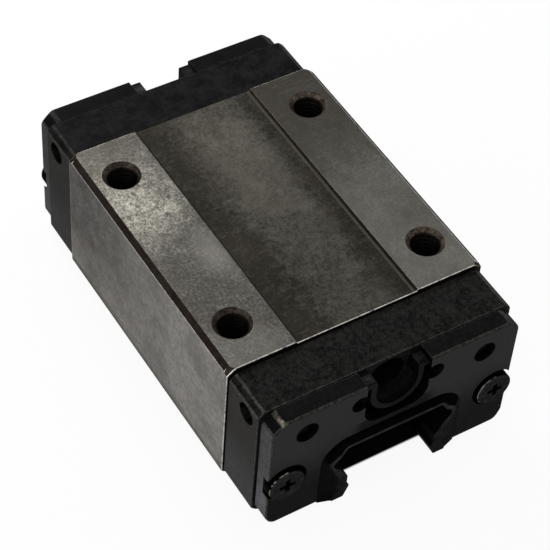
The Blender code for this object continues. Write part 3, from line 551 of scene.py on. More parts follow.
def land_colour(steel, noises, right):
    """Speckled, smoother on the right, with painted shade at the rear, a painted highlight in a
    stripe
    and at the front, and painted glints: bright specks, most of them beside the rear left hole."""
    x, y, _ = steel.at()
    blotch, mottle, speck, fine = noises
    coarse = 1 - right * 0.75
    contrast = (speck.ease(0.3, 0.7) - 0.5) * (coarse * 0.65 + 0.4) + 0.5
    colour = steel.mix(contrast, tone(51, 50, 46), tone(92, 90, 85))
    colour = colour.under(blotch.ease(0.42, 0.62) * 0.5, 57, 56, 52)
    # Painted highlight: a stripe along the left land's inner edge, and paler towards the front
    highlight_streak = 1 - steel.length((x - 3.5) * 0.6, y + 11.6).ease(0.5, 4.5)
    near = x.ease(13.0, 21.0) * (1 - y.ease(-14.0, -10.0)) * 0.7
    near = near + right * x.ease(-8.0, 8.0) * 0.4
    pale = steel.larger(highlight_streak * 0.45, near * 0.45) * (0.6 + mottle * 0.8)
    colour = colour.under(pale, 112, 110, 104)
    # Painted shade: darker at the rear end, and on the right land towards the rear, beside a
    # darker spot
    far = (1 - x.ease(-22.5, -18.5)) * coarse + (1 - x.ease(-12.0, 2.0)) * right * 1.4
    dull = 1 - steel.length((x - 8.0) * 0.7, y + 17.5).ease(1.0, 5.5)
    colour = colour.under(steel.larger(far * 0.5, dull * 0.35), 50, 47, 42)
    # Painted glints and sparkle, most beside the rear left hole
    glint_patch = steel.length(x + 9.5, (y + 15.8) * 1.4) + blotch * 8.0 + mottle * 4.0
    glint_patch = 1 - glint_patch.ease(6.5, 17.5)
    painted_glint = glint_patch * (speck * 0.6 + mottle * 0.6).ease(0.45, 0.74)
    colour = colour.under(painted_glint * 0.85, 150, 147, 137)
    painted_sparkle = (speck * 0.7 + mottle * 0.4).ease(0.6, 0.72) * fine.ease(0.42, 0.62)
    return colour.under(painted_sparkle * (glint_patch * 0.7 + coarse * 0.15), 212, 200, 160)


def side_colour(steel, noises):
    """Softly mottled, with painted shade towards the rear and the top, and darker along the foot.
    """
    x, _, z = steel.at()
    blotch, mottle, speck, fine = noises
    colour = steel.mix(mottle.ease(0.36, 0.64), tone(119, 116, 112), tone(142, 139, 135))
    # Painted shade towards the rear and the top
    shade = (1 - x.ease(-20.0, 12.0)) * z.ease(-4.0, 15.0)
    colour = colour.under(blotch.ease(0.42, 0.6) * 0.15 + shade * 0.9, 78, 76, 73)
    grains = (speck * 0.6 + fine * 0.4).ease(0.48, 0.62)
    colour = colour.under(grains * 0.35, 158, 155, 150)
    low = 1 - (z + blotch * 1.5).ease(1.2, 3.4)
    return colour.under(low * 0.7, 48, 46, 43)


def steel_wear_and_highlight(steel, noises, from_hole):
    """The softened normal, and a mask of the bright edges, partly wear and partly painted
    highlight:
    the long ones, less so round the countersinks, and those of the ends, which take more painted
    highlight towards the front. It fades at all land corners but the front left one."""
    x, y, z = steel.at()
    nx, ny, nz = steel.facing()
    _, mottle, speck, _ = noises
    soft, edge = steel.edges(0.12, 0.01, 0.25)
    rims = abs(ny).between(0.8, 0.95, 0.05) + nz.between(0.8, 0.95, 0.05) * (y > 0)
    rounds = abs(nx).between(0.3, 0.9, 0.12) * (abs(x) > BLOCK_END - BLOCK_EDGE)
    clear = from_hole.ease(COUNTERSINK_RADIUS + 0.2, COUNTERSINK_RADIUS + 0.4)
    rims = (edge + rounds + rims) * (abs(y) > BAND_Y + 0.6) * (clear * 0.65 + 0.35)
    # Painted highlight on the ends' edges, stronger towards the front
    ends = abs(x).ease(BLOCK_END - 0.18, BLOCK_END - 0.1) * (1 - abs(nx).ease(0.8, 0.9))
    ends = ends * (x.ease(-4.0, 8.0) * 0.75 + abs(ny) * 0.6).ease(0.0, 0.8)
    ends = ends * (1 - y.ease(9.0, 10.5) * 0.5)
    wear_and_highlight = (rims * 0.8 + ends * 0.9).ease(0.1, 0.9) * (mottle * 0.9 + speck * 0.5).ease(0.4, 0.8)
    chamfer_y = HALF_WIDTH - TOP_CHAMFER
    tips = abs(y).ease(chamfer_y - 1.0, chamfer_y)
    tips = tips * abs(x).ease(BLOCK_END - 0.8, BLOCK_END - 0.4) * z.ease(TOP - 1.3, TOP - 0.9)
    return soft, wear_and_highlight * (1 - tips * steel.larger(y > 0, x < 0) * 0.8)


def ground_steel():
    """Worn ground steel, with cross scratches on the faces that look up, dark chamfers, bright
    thin lines on the edges, partly wear and partly painted highlight, brown countersinks, and
    painted shade that makes the tapped holes and the channel near-black."""
    steel = Finish("ground_steel", Metallic=0.92, Specular_Tint=(0.5, 0.5, 0.5, 1.0))
    x, y, z = steel.at()
    _, ny, nz = steel.facing()
    right = y.ease(-3.0, 3.0)
    up = nz.ease(0.9, 0.98)
    land = up * (z > TOP - BAND_RECESS / 2)
    cloud = steel.noise(0.14, 3.0, 0.5)
    blotch = steel.noise(0.42, 5.0, 0.62)
    mottle = steel.noise(1.1, 5.0, 0.66)
    speck = steel.noise(2.6, 4.0, 0.75)
    fine = steel.noise(7.0, 2.0, 0.7)
    scratches = steel.noise(1.0, 3.0, 0.7, (8.0, 0.3, 8.0), (0.0, 0.0, 0.12)).ease(0.6, 0.72)
    noises = blotch, mottle, speck, fine

    chamfers = steel.mix(mottle.ease(0.35, 0.7), tone(24, 19, 16), tone(38, 32, 27))
    colour = steel.mix(up, chamfers, band_colour(steel, noises))
    colour = steel.mix(land, colour, land_colour(steel, noises, right))
    beside = abs(ny).ease(0.9, 0.98) * (abs(y) > BAND_Y + 0.6)
    colour = steel.mix(beside, colour, side_colour(steel, noises))
    colour = colour.under(cloud.ease(0.42, 0.7) * 0.3, 46, 43, 39)
    strength = 0.2 + land * (1 - x.ease(-22.0, -17.0)) * 0.3
    colour = colour.under(scratches * up * strength, 118, 114, 107)

    from_hole = steel.length(abs(x) - HOLE_SPACING / 2, abs(y) - HOLE_SPACING / 2)
    # Below the tapped holes, nothing is near one.
    from_hole = from_hole + (z < TOP - HOLE_DEPTH - 0.5) * HALF_WIDTH
    soft, wear_and_highlight = steel_wear_and_highlight(steel, noises, from_hole)
    # Bright edges: partly wear, partly painted highlight
    colour = colour.under(wear_and_highlight * 0.9, 200, 198, 192)

    sunk = 1 - from_hole.ease(COUNTERSINK_RADIUS - 0.1, COUNTERSINK_RADIUS)
    crusts = (speck * 0.5 + mottle * 0.5).ease(0.4, 0.62)
    rust = steel.mix(crusts, tone(36, 30, 26), tone(84, 75, 66))
    rust = rust.under((1 - right) * 0.5, 20, 15, 13)
    colour = steel.mix(sunk, colour, rust)
    # Painted shade: the tapped holes near-black below their mouths
    hole_shade = 1 - from_hole.ease(THREAD_RADIUS + 0.2, THREAD_RADIUS + 0.45)
    hole_shade = hole_shade * (1 - z.ease(TOP - 1.1, TOP - 0.45))
    colour = colour.under(hole_shade, 4, 3, 3)
    # Painted shade: the channel near-black
    channel = (1 - abs(y).ease(LEG_Y + 0.6, LEG_Y + 1.1)) * (1 - z.ease(TOP - 4.0, TOP - 3.0))
    colour = colour.under(channel, 14, 13, 13)
    rough = 0.42 - 0.15 * land + 0.16 * speck - 0.05 * scratches
    return steel.show(colour, rough, speck * 0.8 + mottle * 0.5 - scratches * 0.3, 0.02, soft)


def black_wear_and_highlight(black, half_width, mottle, grain):
    """The softened normal, a mask of the paler edges, partly wear and partly painted highlight,
    most so outside and towards the front, where more light is painted, and one of a pale spot at
    the front left corner, partly wear and partly painted highlight."""
    x, y, z = black.at()
    nx, ny, nz = (abs(part) for part in black.facing())
    soft, edge = black.edges(0.14, 0.004, 0.08)
    outer = black.larger(abs(y) - half_width, z - TOP + CAP_TOP_DEPTH).ease(-1.6, -1.2)
    slope = nx.between(0.35, 0.88, 0.1)
    curve = 1 - black.larger(ny, nz).ease(0.965, 0.99)
    curve = curve * abs(ny - nz).ease(0.06, 0.16) * (1 - nx.ease(0.3, 0.6))
    wear_and_highlight = (edge + slope + curve).ease(0.1, 0.9) * (outer * 0.8 + 0.2)
    # Paler towards the front: painted light
    wear_and_highlight = wear_and_highlight * (mottle * 0.6 + grain * 0.6).ease(0.4, 0.75) * (0.6 + x.ease(-20.0, 20.0) * 0.4)
    nick_and_highlight = abs(y).between(18.2, 18.6, 0.3) * z.ease(TOP - 1.7, TOP - 1.4) * x.ease(32.2, 33.0)
    nick_and_highlight = nick_and_highlight * (y < 0) * mottle.ease(0.35, 0.55) * (curve + slope)
    return soft, wear_and_highlight, nick_and_highlight


def hollow_shade(black):
    """A mask of painted shade: the nipple's bore, the walls of collar, cut-out and arch, and the
    holes of ports and pegs."""
    x, y, z = black.at()
    from_nipple = black.length(y, z - TOP + NIPPLE_DEPTH)
    bore = 1 - from_nipple.ease(NIPPLE_RADIUS + 0.1, NIPPLE_RADIUS + 0.3)
    collar = 1 - from_nipple.ease(COLLAR_RADII[0] + 0.1, COLLAR_RADII[0] + 0.2)
    ears = EAR_Y + EAR_RADIUS
    cut = abs(x).ease(PLATE_INNER - 0.1, PLATE_INNER)
    cut = cut * (1 - abs(y).ease(ears + 0.05, ears + 0.25))
    arch = 1 - abs(y).ease(ARCH_Y + 0.1, ARCH_Y + 0.2)
    arch = arch * (z < TOP - CUTOUT_DEPTH - 0.5)
    nx, _, _ = black.facing()
    walls = black.larger(collar * 0.8, cut * 0.7, arch) * (1 - abs(nx).ease(0.3, 0.7))
    from_port = black.length(abs(x) - PORT_X, z - TOP + PORT_DEPTH)
    port = 1 - from_port.ease(PORT_RADIUS - 0.05, PORT_RADIUS + 0.1)
    port = port * abs(y).ease(13.0, 13.4)
    from_peg = black.length(abs(y) - PEG_Y, z - TOP + PEG_DEPTH)
    peg = 1 - from_peg.ease(PEG_HOLE_RADIUS + 0.05, PEG_HOLE_RADIUS + 0.1)
    return black.larger(bore, walls, port, peg * 0.7)


def outer_black(name, half_width, deep, plain, dust, face, lit_flanks):
    """The black of the end caps and end plates: blotched between a deep and a plain tone, with a
    fine grain, dust in spots on top, less of it towards the rear as painted shade, faint scuffs,
    and paler outer edges, partly wear and partly painted highlight. The end face takes painted
    light high up, with painted shade below the nipple. The sides are painted lit, going from
    their low to their high tone and paler towards the front. The collar carries painted shade on
    the right, and the hollows are painted near-black as shade."""
    black = Finish(name, Specular_IOR_Level=0.02)
    x, y, z = black.at()
    nx, ny, nz = black.facing()
    blotch = black.noise(0.35, 5.0, 0.6)
    mottle = black.noise(1.3, 5.0, 0.7)
    grain = black.noise(5.0, 3.0, 0.65)
    scuffs = black.noise(1.0, 3.0, 0.7, (1.2, 7.0, 7.0), (0.0, 0.3, 0.5)).ease(0.62, 0.72)
    colour = black.mix((blotch * 0.7 + mottle * 0.4).ease(0.42, 0.68), deep, plain)
    top = z.ease(TOP - 1.6, TOP - 1.1)
    dusty = top * nz.ease(0.3, 0.9) * (mottle * 0.6 + grain * 0.5).ease(0.45, 0.72)
    # Dust, fading towards the rear as painted shade
    colour = black.mix(dusty * (x.ease(-15.0, 15.0) * 0.5 + 0.1), colour, dust)
    # Painted light: the end face paler high up, and painted shade below the nipple
    web_shade = (1 - abs(y).ease(5.0, 7.5)) * (z < TOP - CUTOUT_DEPTH + 1.0)
    high = (z + blotch * 3.0).ease(6.0, 17.0) * (1 - web_shade * 0.8)
    colour = black.mix(abs(nx).ease(0.9, 0.98) * high, colour, face)
    colour = black.mix(scuffs * 0.2 + grain.ease(0.66, 0.76) * 0.3, colour, dust)
    # Painted light: the sides paler, low down and towards the front
    lit_flank = abs(y).ease(half_width - 0.3, half_width - 0.1) * abs(ny).ease(0.8, 0.95)
    lit_flank = lit_flank * (0.6 + x.ease(-20.0, 20.0) * 0.4) * (0.5 + mottle.ease(0.3, 0.7) * 0.5)
    lit_flank_tone = black.mix((z + mottle * 4.0).ease(6.0, 16.0), *lit_flanks)
    colour = black.mix(lit_flank, colour, lit_flank_tone)

    soft, wear_and_highlight, nick_and_highlight = black_wear_and_highlight(black, half_width, mottle, grain)
    # Paler edges and the corner spot: wear and painted highlight
    colour = colour.under(wear_and_highlight * 0.31, 118, 115, 108)
    colour = colour.under(nick_and_highlight * 0.8, 136, 130, 118)
    # Painted shade on the collar's right
    ring = abs(x).between(PLATE_INNER, COLLAR_FACE + 0.1, 0.1)
    ring = ring * (1 - abs(y).ease(CUTOUT_Y - 0.15, CUTOUT_Y))
    colour = black.mix(ring * y.ease(-4.0, 2.0) * 0.6, colour, deep)
    # Painted shade: the hollows near-black
    colour = colour.under(hollow_shade(black) * (1 - top), 2, 2, 2)
    return black.show(colour, 0.48 + 0.2 * mottle, grain, 0.02, soft)


def inner_plastic():
    """Dark moulded plastic with a fine grain and greased darker patches."""
    plastic = Finish("inner_plastic", Specular_IOR_Level=0.03)
    grease = plastic.noise(0.5, 4.0, 0.6)
    grain = plastic.noise(6.0, 3.0, 0.65)
    colour = plastic.mix(grease.ease(0.4, 0.65), tone(12, 12, 13), tone(5, 5, 5))
    colour = colour.under(grain.ease(0.62, 0.75) * 0.3, 30, 30, 30)
    soft, edge = plastic.edges(0.1, 0.02, 0.2)
    colour = colour.under(edge * 0.3, 36, 36, 36)
    return plastic.show(colour, 0.6 - 0.25 * grease, grain, 0.015, soft)


def seal_rubber():
    """Black rubber, matte, and greyed along its ridge, partly rubbing and partly painted
    highlight, least along the legs.
    """
    rubber = Finish("seal_rubber", Specular_IOR_Level=0.02)
    x, _, z = rubber.at()
    nx, _, _ = rubber.facing()
    grain = rubber.noise(5.0, 3.0, 0.6)
    mottle = rubber.noise(0.9, 4.0, 0.55)
    colour = rubber.mix(mottle.ease(0.35, 0.7), tone(2, 2, 3), tone(6, 6, 6))
    # Painted highlight along the ridge, with some rubbing, fading down the legs
    ridge = abs(x).ease(LIP_FACE - 0.3, LIP_FACE - 0.1) * abs(nx).ease(0.3, 0.8)
    ridge = ridge * (z.ease(3.0, 8.5) * 0.75 + 0.25)
    colour = colour.under(ridge * (0.4 + mottle.ease(0.3, 0.7) * 0.6), 54, 54, 54)
    return rubber.show(colour, 0.6 + 0.2 * grain, grain, 0.01, rubber.normal)


def screw_steel():
    """Dark oxide steel, greyer on the head's face, with painted shade that makes its sides and
    the cross near-black, and bright outer edges, partly wear and partly a painted highlight on
    the rim's -Y side."""
    tint = (0.3, 0.3, 0.3, 1.0)
    steel = Finish("screw_steel", Metallic=0.7, Specular_IOR_Level=0.02, Specular_Tint=tint)
    x, y, z = steel.at()
    nx, ny, _ = steel.facing()
    mottle = steel.noise(1.1, 5.0, 0.65)
    grain = steel.noise(8.0, 2.0, 0.55)
    face = abs(nx).ease(0.5, 0.9)
    # Painted shade: the sides far darker than the face
    colour = steel.mix(face, tone(7, 7, 7), tone(39, 39, 39))
    colour = colour.under(mottle.ease(0.45, 0.7) * face * 0.6, 58, 57, 55)
    top = SCREW_SEAT + HEAD_HEIGHT
    # Painted shade: near-black below the face, the cross included
    colour = colour.under(1 - abs(x).ease(top - 0.2, top - 0.08), 2, 2, 2)
    soft, edge = steel.edges(0.14, 0.01, 0.25)
    outer = steel.length(abs(y) - SCREW_Y, z - TOP + SCREW_DEPTH) > HEAD_RADIUS - 0.5
    # Bright outer edges and the rim's -Y side: painted highlight with some wear
    colour = colour.under(edge * outer * mottle.ease(0.35, 0.55) * 0.8, 150, 146, 138)
    rim = abs(nx).between(0.2, 0.6, 0.15) * (ny < 0) * outer
    colour = colour.under(rim * mottle.ease(0.42, 0.6) * 0.8, 150, 147, 138)
    return steel.show(colour, 0.34 + 0.25 * mottle, grain, 0.008, soft)


def ball_steel():
    """Polished steel with a faint film of grease."""
    steel = Finish("ball_steel", Metallic=1.0)
    film = steel.noise(0.8, 3.0, 0.55)
    colour = steel.mix(film.ease(0.4, 0.7), tone(196, 196, 197), tone(168, 165, 158))
    return steel.show(colour, 0.1 + 0.14 * film, film, 0.004, steel.normal)


# Pieces


def circuit(side, level):
    """Middle of the loaded row, and the direction from it towards the return row."""
    loaded = np.array((0.0, side * ROW_Y, TOP - ROW_DEPTHS[level]))
    return loaded, np.array((0.0, side * math.cos(TILT), level * math.sin(TILT)))


def block_outline():
    """The block's cross section and, for each point, 1 where its ends have rounded edges."""
    corners = [
        (0.0, BAND_RECESS),
        (BAND_Y, BAND_RECESS),
        (BAND_Y, 0.0),
        (HALF_WIDTH - TOP_CHAMFER, 0.0),
        (HALF_WIDTH, TOP_CHAMFER),
        (HALF_WIDTH, BLOCK_HEIGHT - FOOT_CHAMFER),
        (HALF_WIDTH - FOOT_CHAMFER, BLOCK_HEIGHT),
        (LEG_Y, BLOCK_HEIGHT),
        (LEG_Y, SLOT_DEPTHS[1]),
        (SLOT_Y, SLOT_DEPTHS[1]),
        (SLOT_Y, SLOT_DEPTHS[0]),
        (LEG_Y, SLOT_DEPTHS[0]),
        (LEG_Y, SLOT_DEPTHS[0] - BEYOND),
    ]
    outside = rounded(corners, np.array(BLOCK_RADII))
    roof = math.degrees(math.asin(ROOF_ABOVE_ROW / PASSAGE_RADIUS))
    wall = math.degrees(math.acos(ROW_WALL_OUTSIDE_ROW / PASSAGE_RADIUS))
    leg = math.degrees(math.asin((ROW_Y - LEG_Y) / PASSAGE_RADIUS))
    lower = arc((ROW_Y, ROW_DEPTHS[-1]), PASSAGE_RADIUS, 90 + leg, -wall, 20)
    upper = arc((ROW_Y, ROW_DEPTHS[1]), PASSAGE_RADIUS, wall, roof - 180, 24)
    outline = mirrored(np.concatenate([outside, lower, upper]))
    y, depth = np.abs(outline[:, 0]), outline[:, 1]
    weights = (depth < 0.5) | (y > SLOT_Y + 1) | (depth > SLOT_DEPTHS[1] + 0.3)
    return outline, weights.astype(float)


def table_hole(end, side):
    """Cutter whose radius is the larger of the thread's, minor + rise, and the countersink's
    cone, which narrows by a millimetre a millimetre down. A short cone ends it."""
    sides = 40
    distances = np.linspace(-0.6, HOLE_DEPTH - DRILL_TIP_HEIGHT, 110)
    rise = thread(turns(sides), distances, THREAD_PITCH, THREAD_DEPTH)
    radii = np.maximum(THREAD_RADIUS + rise, COUNTERSINK_RADIUS - distances[:, None])
    tip = np.full((2, sides), THREAD_RADIUS) * ((0.98,), (0.2,))
    places = np.concatenate([distances, (distances[-1] + 0.05, HOLE_DEPTH)])
    foot = (end * HOLE_SPACING / 2, side * HOLE_SPACING / 2, TOP)
    return around(foot, (0, 0, -1), places, np.concatenate([radii, tip]), sides)


def land_corner(end, side):
    """Cutter for what lies outside a cone at a corner of a land: point = centre + (corner's
    radius + depth) * (cos a, sin a), so that it runs on from the chamfer along the side. The
    first and last points stand a little outside, so that the cutter crosses both faces."""
    depths = np.array((-0.2, TOP_CHAMFER + 0.4))
    angles = np.radians(np.linspace(0, 90, 13))
    round_in = np.stack([np.cos(angles), np.sin(angles)], axis=-1)
    round_in[[0, -1]] *= 1.03
    arcs = (LAND_CORNER + depths)[:, None, None] * round_in
    beyond = np.broadcast_to(np.array([(0.0, 4.0), (4.0, 4.0), (4.0, 0.0)]), (2, 3, 2))
    centre = (BLOCK_END - LAND_CORNER, HALF_WIDTH - TOP_CHAMFER - LAND_CORNER)
    flat = (np.concatenate([arcs, beyond], axis=1) + centre) * (end, side)
    heights = np.broadcast_to((TOP - depths)[:, None, None], (2, flat.shape[1], 1))
    return skin(np.concatenate([flat, heights], axis=2))


def steel_block(finish):
    """The cross section carried along the rail, less the return bores, the screws' holes, the
    tapped holes and the corners of the lands."""
    outline, weights = block_outline()
    body = soft_prism(outline, -BLOCK_END, BLOCK_END, BLOCK_EDGE, BLOCK_EDGE, weights)
    block = put("block", body)
    past = BLOCK_END + BEYOND
    bores = []
    for side in SIDES:
        for level in LEVELS:
            loaded, outward = circuit(side, level)
            y, z = (loaded + 2 * TURN_RADIUS * outward)[1:]
            bores.append(x_bore(y, TOP - z, PASSAGE_RADIUS, -past, past, 32))
        for end in ENDS:
            hole = (side * SCREW_Y, SCREW_DEPTH, SCREW_HOLE_RADIUS, SCREW_TIP - 2, past)
            bores.append(x_bore(*hole, 24, end))
    holes = [table_hole(end, side) for end in ENDS for side in SIDES]
    corners = [land_corner(end, side) for end in ENDS for side in SIDES]
    carve(block, "DIFFERENCE", [together(bores), together(holes), together(corners)])
    dress(soften(block), "carriage_block", "carriage", finish)


def end_outline(half_width, top_depth, top_corner, foot_corner, radius, steps):
    """The rounded outline of a cap or plate, slanted at its corners."""
    width, height = foot_corner
    half = [
        (half_width - top_corner, top_depth),
        (half_width, top_depth + top_corner),
        (half_width, TOP - height),
        (half_width - width, TOP),
    ]
    return closed_round(mirrored(half), radius, steps)


def cap_inside(end):
    """What is hollow in the CAD cap: two prisms that hold its inner spaces, less the cap."""
    deep = [(20.2, 7.6), (20.2, 22.0), (9.0, 22.0), (9.0, TOP + BEYOND)]
    through = [(12.0, 9.6), (12.0, 21.0), (9.0, 21.0), (9.0, TOP + BEYOND)]
    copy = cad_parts[f"end_cap_{ENDS[end]}"].data.copy()
    work = bmesh.new()
    work.from_mesh(copy)
    bmesh.ops.remove_doubles(work, verts=work.verts, dist=1e-7)
    work.to_mesh(copy)
    work.free()
    hollows = []
    for half, first, last in (
        (deep, CAP_INNER - BEYOND, CAP_OUTER - 0.4),
        (through, CAP_OUTER - 0.8, CAP_OUTER + BEYOND),
    ):
        space = put("space", prism(mirrored(half), end * first, end * last))
        hollows.append(carve(space, "DIFFERENCE", [new_object("cap", copy.copy())]))
    return hollows


def end_cap(end, finish):
    """The cap's body, the U-shaped collar round the nipple bore and two pegs, with the bore, the
    side ports, the screw holes and the CAD cap's inner spaces cut out."""
    foot_corner = (CAP_CHAMFER, CAP_CHAMFER)
    outline = end_outline(CAP_Y, CAP_TOP_DEPTH, CAP_CHAMFER, foot_corner, CAP_CORNER, 5)
    # Starts just off the plane of the CAD cap, where its inner spaces end.
    body = soft_prism(outline, end * (CAP_INNER + 0.01), end * CAP_OUTER, *CAP_EDGES)
    cap = put("cap", body)

    middle = (0.0, NIPPLE_DEPTH)
    inner, outer = COLLAR_RADII
    top, under = COLLAR_HEAD_DEPTHS
    arm = [
        (outer, NIPPLE_DEPTH),
        (outer, under),
        (COLLAR_HEAD_Y, under),
        (COLLAR_HEAD_Y, top),
        (inner, top),
        (inner, NIPPLE_DEPTH),
    ]
    head = rounded(arm, np.array(COLLAR_CORNERS))
    # Up the outside of the right arm from the foot of the U, and down its inside.
    right = np.concatenate([arc(middle, outer, 87, 0, 20), head, arc(middle, inner, 0, 87, 20)])
    root = CAP_OUTER - BEYOND
    parts = [prism(mirrored(right), end * root, end * COLLAR_FACE)]
    nose = [
        (root, PEG_RADIUS),
        (PEG_FACE - PEG_EDGE, PEG_RADIUS),
        (PEG_FACE - 0.3 * PEG_EDGE, PEG_RADIUS - 0.3 * PEG_EDGE),
        (PEG_FACE, PEG_RADIUS - PEG_EDGE),
    ]
    for side in SIDES:
        parts.append(x_round(side * PEG_Y, PEG_DEPTH, nose, 40, end))
    carve(cap, "UNION", [together(parts)])

    bore = (0, NIPPLE_DEPTH, NIPPLE_RADIUS, CAP_OUTER - NIPPLE_BORE, PLATE_OUTER + BEYOND)
    cuts = [x_bore(*bore, 48, end)]
    outside = 0.5
    deepest = outside + PORT_LENGTH
    places = (0.0, PORT_CHAMFER, deepest, deepest + DRILL_TIP_HEIGHT)
    radii = (PORT_RADIUS + PORT_CHAMFER, PORT_RADIUS, PORT_RADIUS, PORT_RADIUS * 0.25)
    for side in SIDES:
        hole = (side * SCREW_Y, SCREW_DEPTH, SCREW_HOLE_RADIUS, BLOCK_END, PLATE_INNER)
        cuts.append(x_bore(*hole, 24, end))
        foot = (end * PORT_X, side * (CAP_Y + outside), TOP - PORT_DEPTH)
        cuts.append(around(foot, (0, -side, 0), places, radii, 48))
    carve(cap, "DIFFERENCE", [together(cuts), *cap_inside(end)])
    dress(soften(cap), f"end_cap_{ENDS[end]}", "carriage", finish)


def arch_corner(gap):
    """The round right corner of the rail's arch, a gap inside the plate's edge."""
    radius = ARCH_CORNER - gap
    middle = (ARCH_Y - ARCH_CORNER, ARCH_DEPTH + ARCH_CORNER)
    return arc(middle, radius, -90, 0, 24)


def seal_plate(end, finish):
    """The end plate, soft along its outer edge, with the arch for the rail, the cut-out for the
    nipple, two peg holes and two screw pockets cut out."""
    corners = (PLATE_TOP_CORNER, PLATE_FOOT_CORNER, PLATE_CORNER)
    outline = end_outline(PLATE_Y, PLATE_TOP_DEPTH, *corners, 8)
    body = soft_prism(outline, end * PLATE_INNER, end * PLATE_OUTER, *PLATE_EDGES)
    plate = put("plate", body)
    first, last = PLATE_INNER - BEYOND, PLATE_OUTER + BEYOND
    opening = [*arch_corner(0.0), (ARCH_Y, TOP + BEYOND)]
    turn = math.degrees(math.acos((CUTOUT_Y - EAR_Y) / EAR_RADIUS))
    ear = arc((EAR_Y, NIPPLE_DEPTH), EAR_RADIUS, -turn, turn, 28)
    middle = (CUTOUT_Y - CUTOUT_CORNER, CUTOUT_DEPTH - CUTOUT_CORNER)
    floor = arc(middle, CUTOUT_CORNER, 0, 90, 20)
    cutout = [(CUTOUT_Y, PLATE_TOP_DEPTH - BEYOND), *ear, *floor]
    cuts = [prism(mirrored(half), end * first, end * last) for half in (opening, cutout)]
    pocket = [
        (first, SCREW_HOLE_RADIUS),
        (POCKET_FLOOR, SCREW_HOLE_RADIUS),
        (POCKET_FLOOR, POCKET_RADIUS),
        (PLATE_OUTER - POCKET_CHAMFER, POCKET_RADIUS),
        (PLATE_OUTER + POCKET_CHAMFER, POCKET_RADIUS + 2 * POCKET_CHAMFER),
    ]
    for side in SIDES:
        cuts.append(x_bore(side * PEG_Y, PEG_DEPTH, PEG_HOLE_RADIUS, first, last, 48, end))
        cuts.append(x_round(side * SCREW_Y, SCREW_DEPTH, pocket, 64, end))
    carve(plate, "DIFFERENCE", [together(cuts)])
    dress(soften(plate), f"seal_plate_{ENDS[end]}", "carriage", finish)


def even(points, count):
    """A polyline as so many points at even distances along it."""
    walked = np.concatenate([[0.0], np.cumsum(np.linalg.norm(np.diff(points, axis=0), axis=1))])
    places = np.linspace(0, walked[-1], count)
    return np.stack([np.interp(places, walked, row) for row in points.T], axis=1)


def seal_edges(count):
    """The seal's inner and outer edge, from the left foot over the rail to the right foot. The
    inner one is a polyline of lines and groove arcs, softened by a running mean of five."""
    right = np.concatenate([
        [(0.0, SEAL_TOP_DEPTH), (SEAL_CORNER_Y, SEAL_TOP_DEPTH)],
        arc((ROW_Y, ROW_DEPTHS[1]), SEAL_GROOVE_RADIUS, 158, 118, 10),
        SEAL_SHOULDER,
        arc((ROW_Y, ROW_DEPTHS[-1]), SEAL_GROOVE_RADIUS, 234, 192, 10),
        SEAL_FOOT,
    ])
    arch = [(0.0, ARCH_DEPTH + SEAL_GAP), *arch_corner(SEAL_GAP), (ARCH_Y - SEAL_GAP, TOP)]
    weights = np.ones(5) / 5
    edges = []
    for half in (right, arch):
        half = even(np.array(half), count)
        whole = np.concatenate([half[:0:-1] * (-1, 1), half])
        padded = np.pad(whole, ((2, 2), (0, 0)), "edge")
        mean = np.stack([np.convolve(row, weights, "valid") for row in padded.T], axis=1)
        mean[[0, -1]] = whole[[0, -1]]
        mean[:, 1] = np.minimum(mean[:, 1], TOP)
        edges.append(mean)
    return edges


def seal_lip(end, finish):
    """The rubber seal. Its cross section stands on the line from the inner to the outer edge: a
    ridge of a width that grows towards the feet, and beside it a floor that lies deep over the
    rail and rises along the legs with the square of the depth."""
    inner, outer = seal_edges(150)
    reach = np.linalg.norm(outer - inner, axis=1)
    across = unit(outer - inner)
    down = np.clip((inner[:, 1] - ROW_DEPTHS[1]) / (TOP - ROW_DEPTHS[1]), 0, 1)
    width = LIP_TOP_WIDTH + (LIP_FOOT_WIDTH - LIP_TOP_WIDTH) * down
    on_leg = np.clip((inner[:, 1] - ROW_DEPTHS[1]) / LIP_RISE, 0, 1) ** 2
    floor = PLATE_OUTER - LIP_RECESS * (1 - on_leg)
    beside = floor + on_leg * (LIP_FACE - PLATE_OUTER - LIP_EDGE)
    back, face, none = (np.full_like(width, value) for value in (PLATE_INNER, LIP_FACE, 0.0))
    xs = np.stack([back, floor, beside, face, face, back], axis=1)
    steps = np.stack([reach, reach, width, width - LIP_EDGE, none, none], axis=1)
    profile = closed_round(np.stack([xs, steps], axis=-1), np.array(LIP_RADII), 3)
    flat = inner[:, None, :] + across[:, None, :] * profile[..., 1:]
    rings = np.stack([end * profile[..., 0], flat[..., 0], TOP - flat[..., 1]], axis=-1)
    lip = put("lip", skin(rings))
    dress(soften(lip, 40), f"seal_lip_{ENDS[end]}", "carriage", finish)


def cross(length, half_width):
    """A four-armed outline: three corners of one arm, turned by a quarter four times."""
    arm = np.array([(length, -half_width), (length, half_width), (half_width, half_width)])
    quarter = np.array([(0, 1), (-1, 0)])
    arms = [arm @ np.linalg.matrix_power(quarter, count) for count in range(4)]
    return closed_round(np.concatenate(arms), CROSS_CORNER, 3)


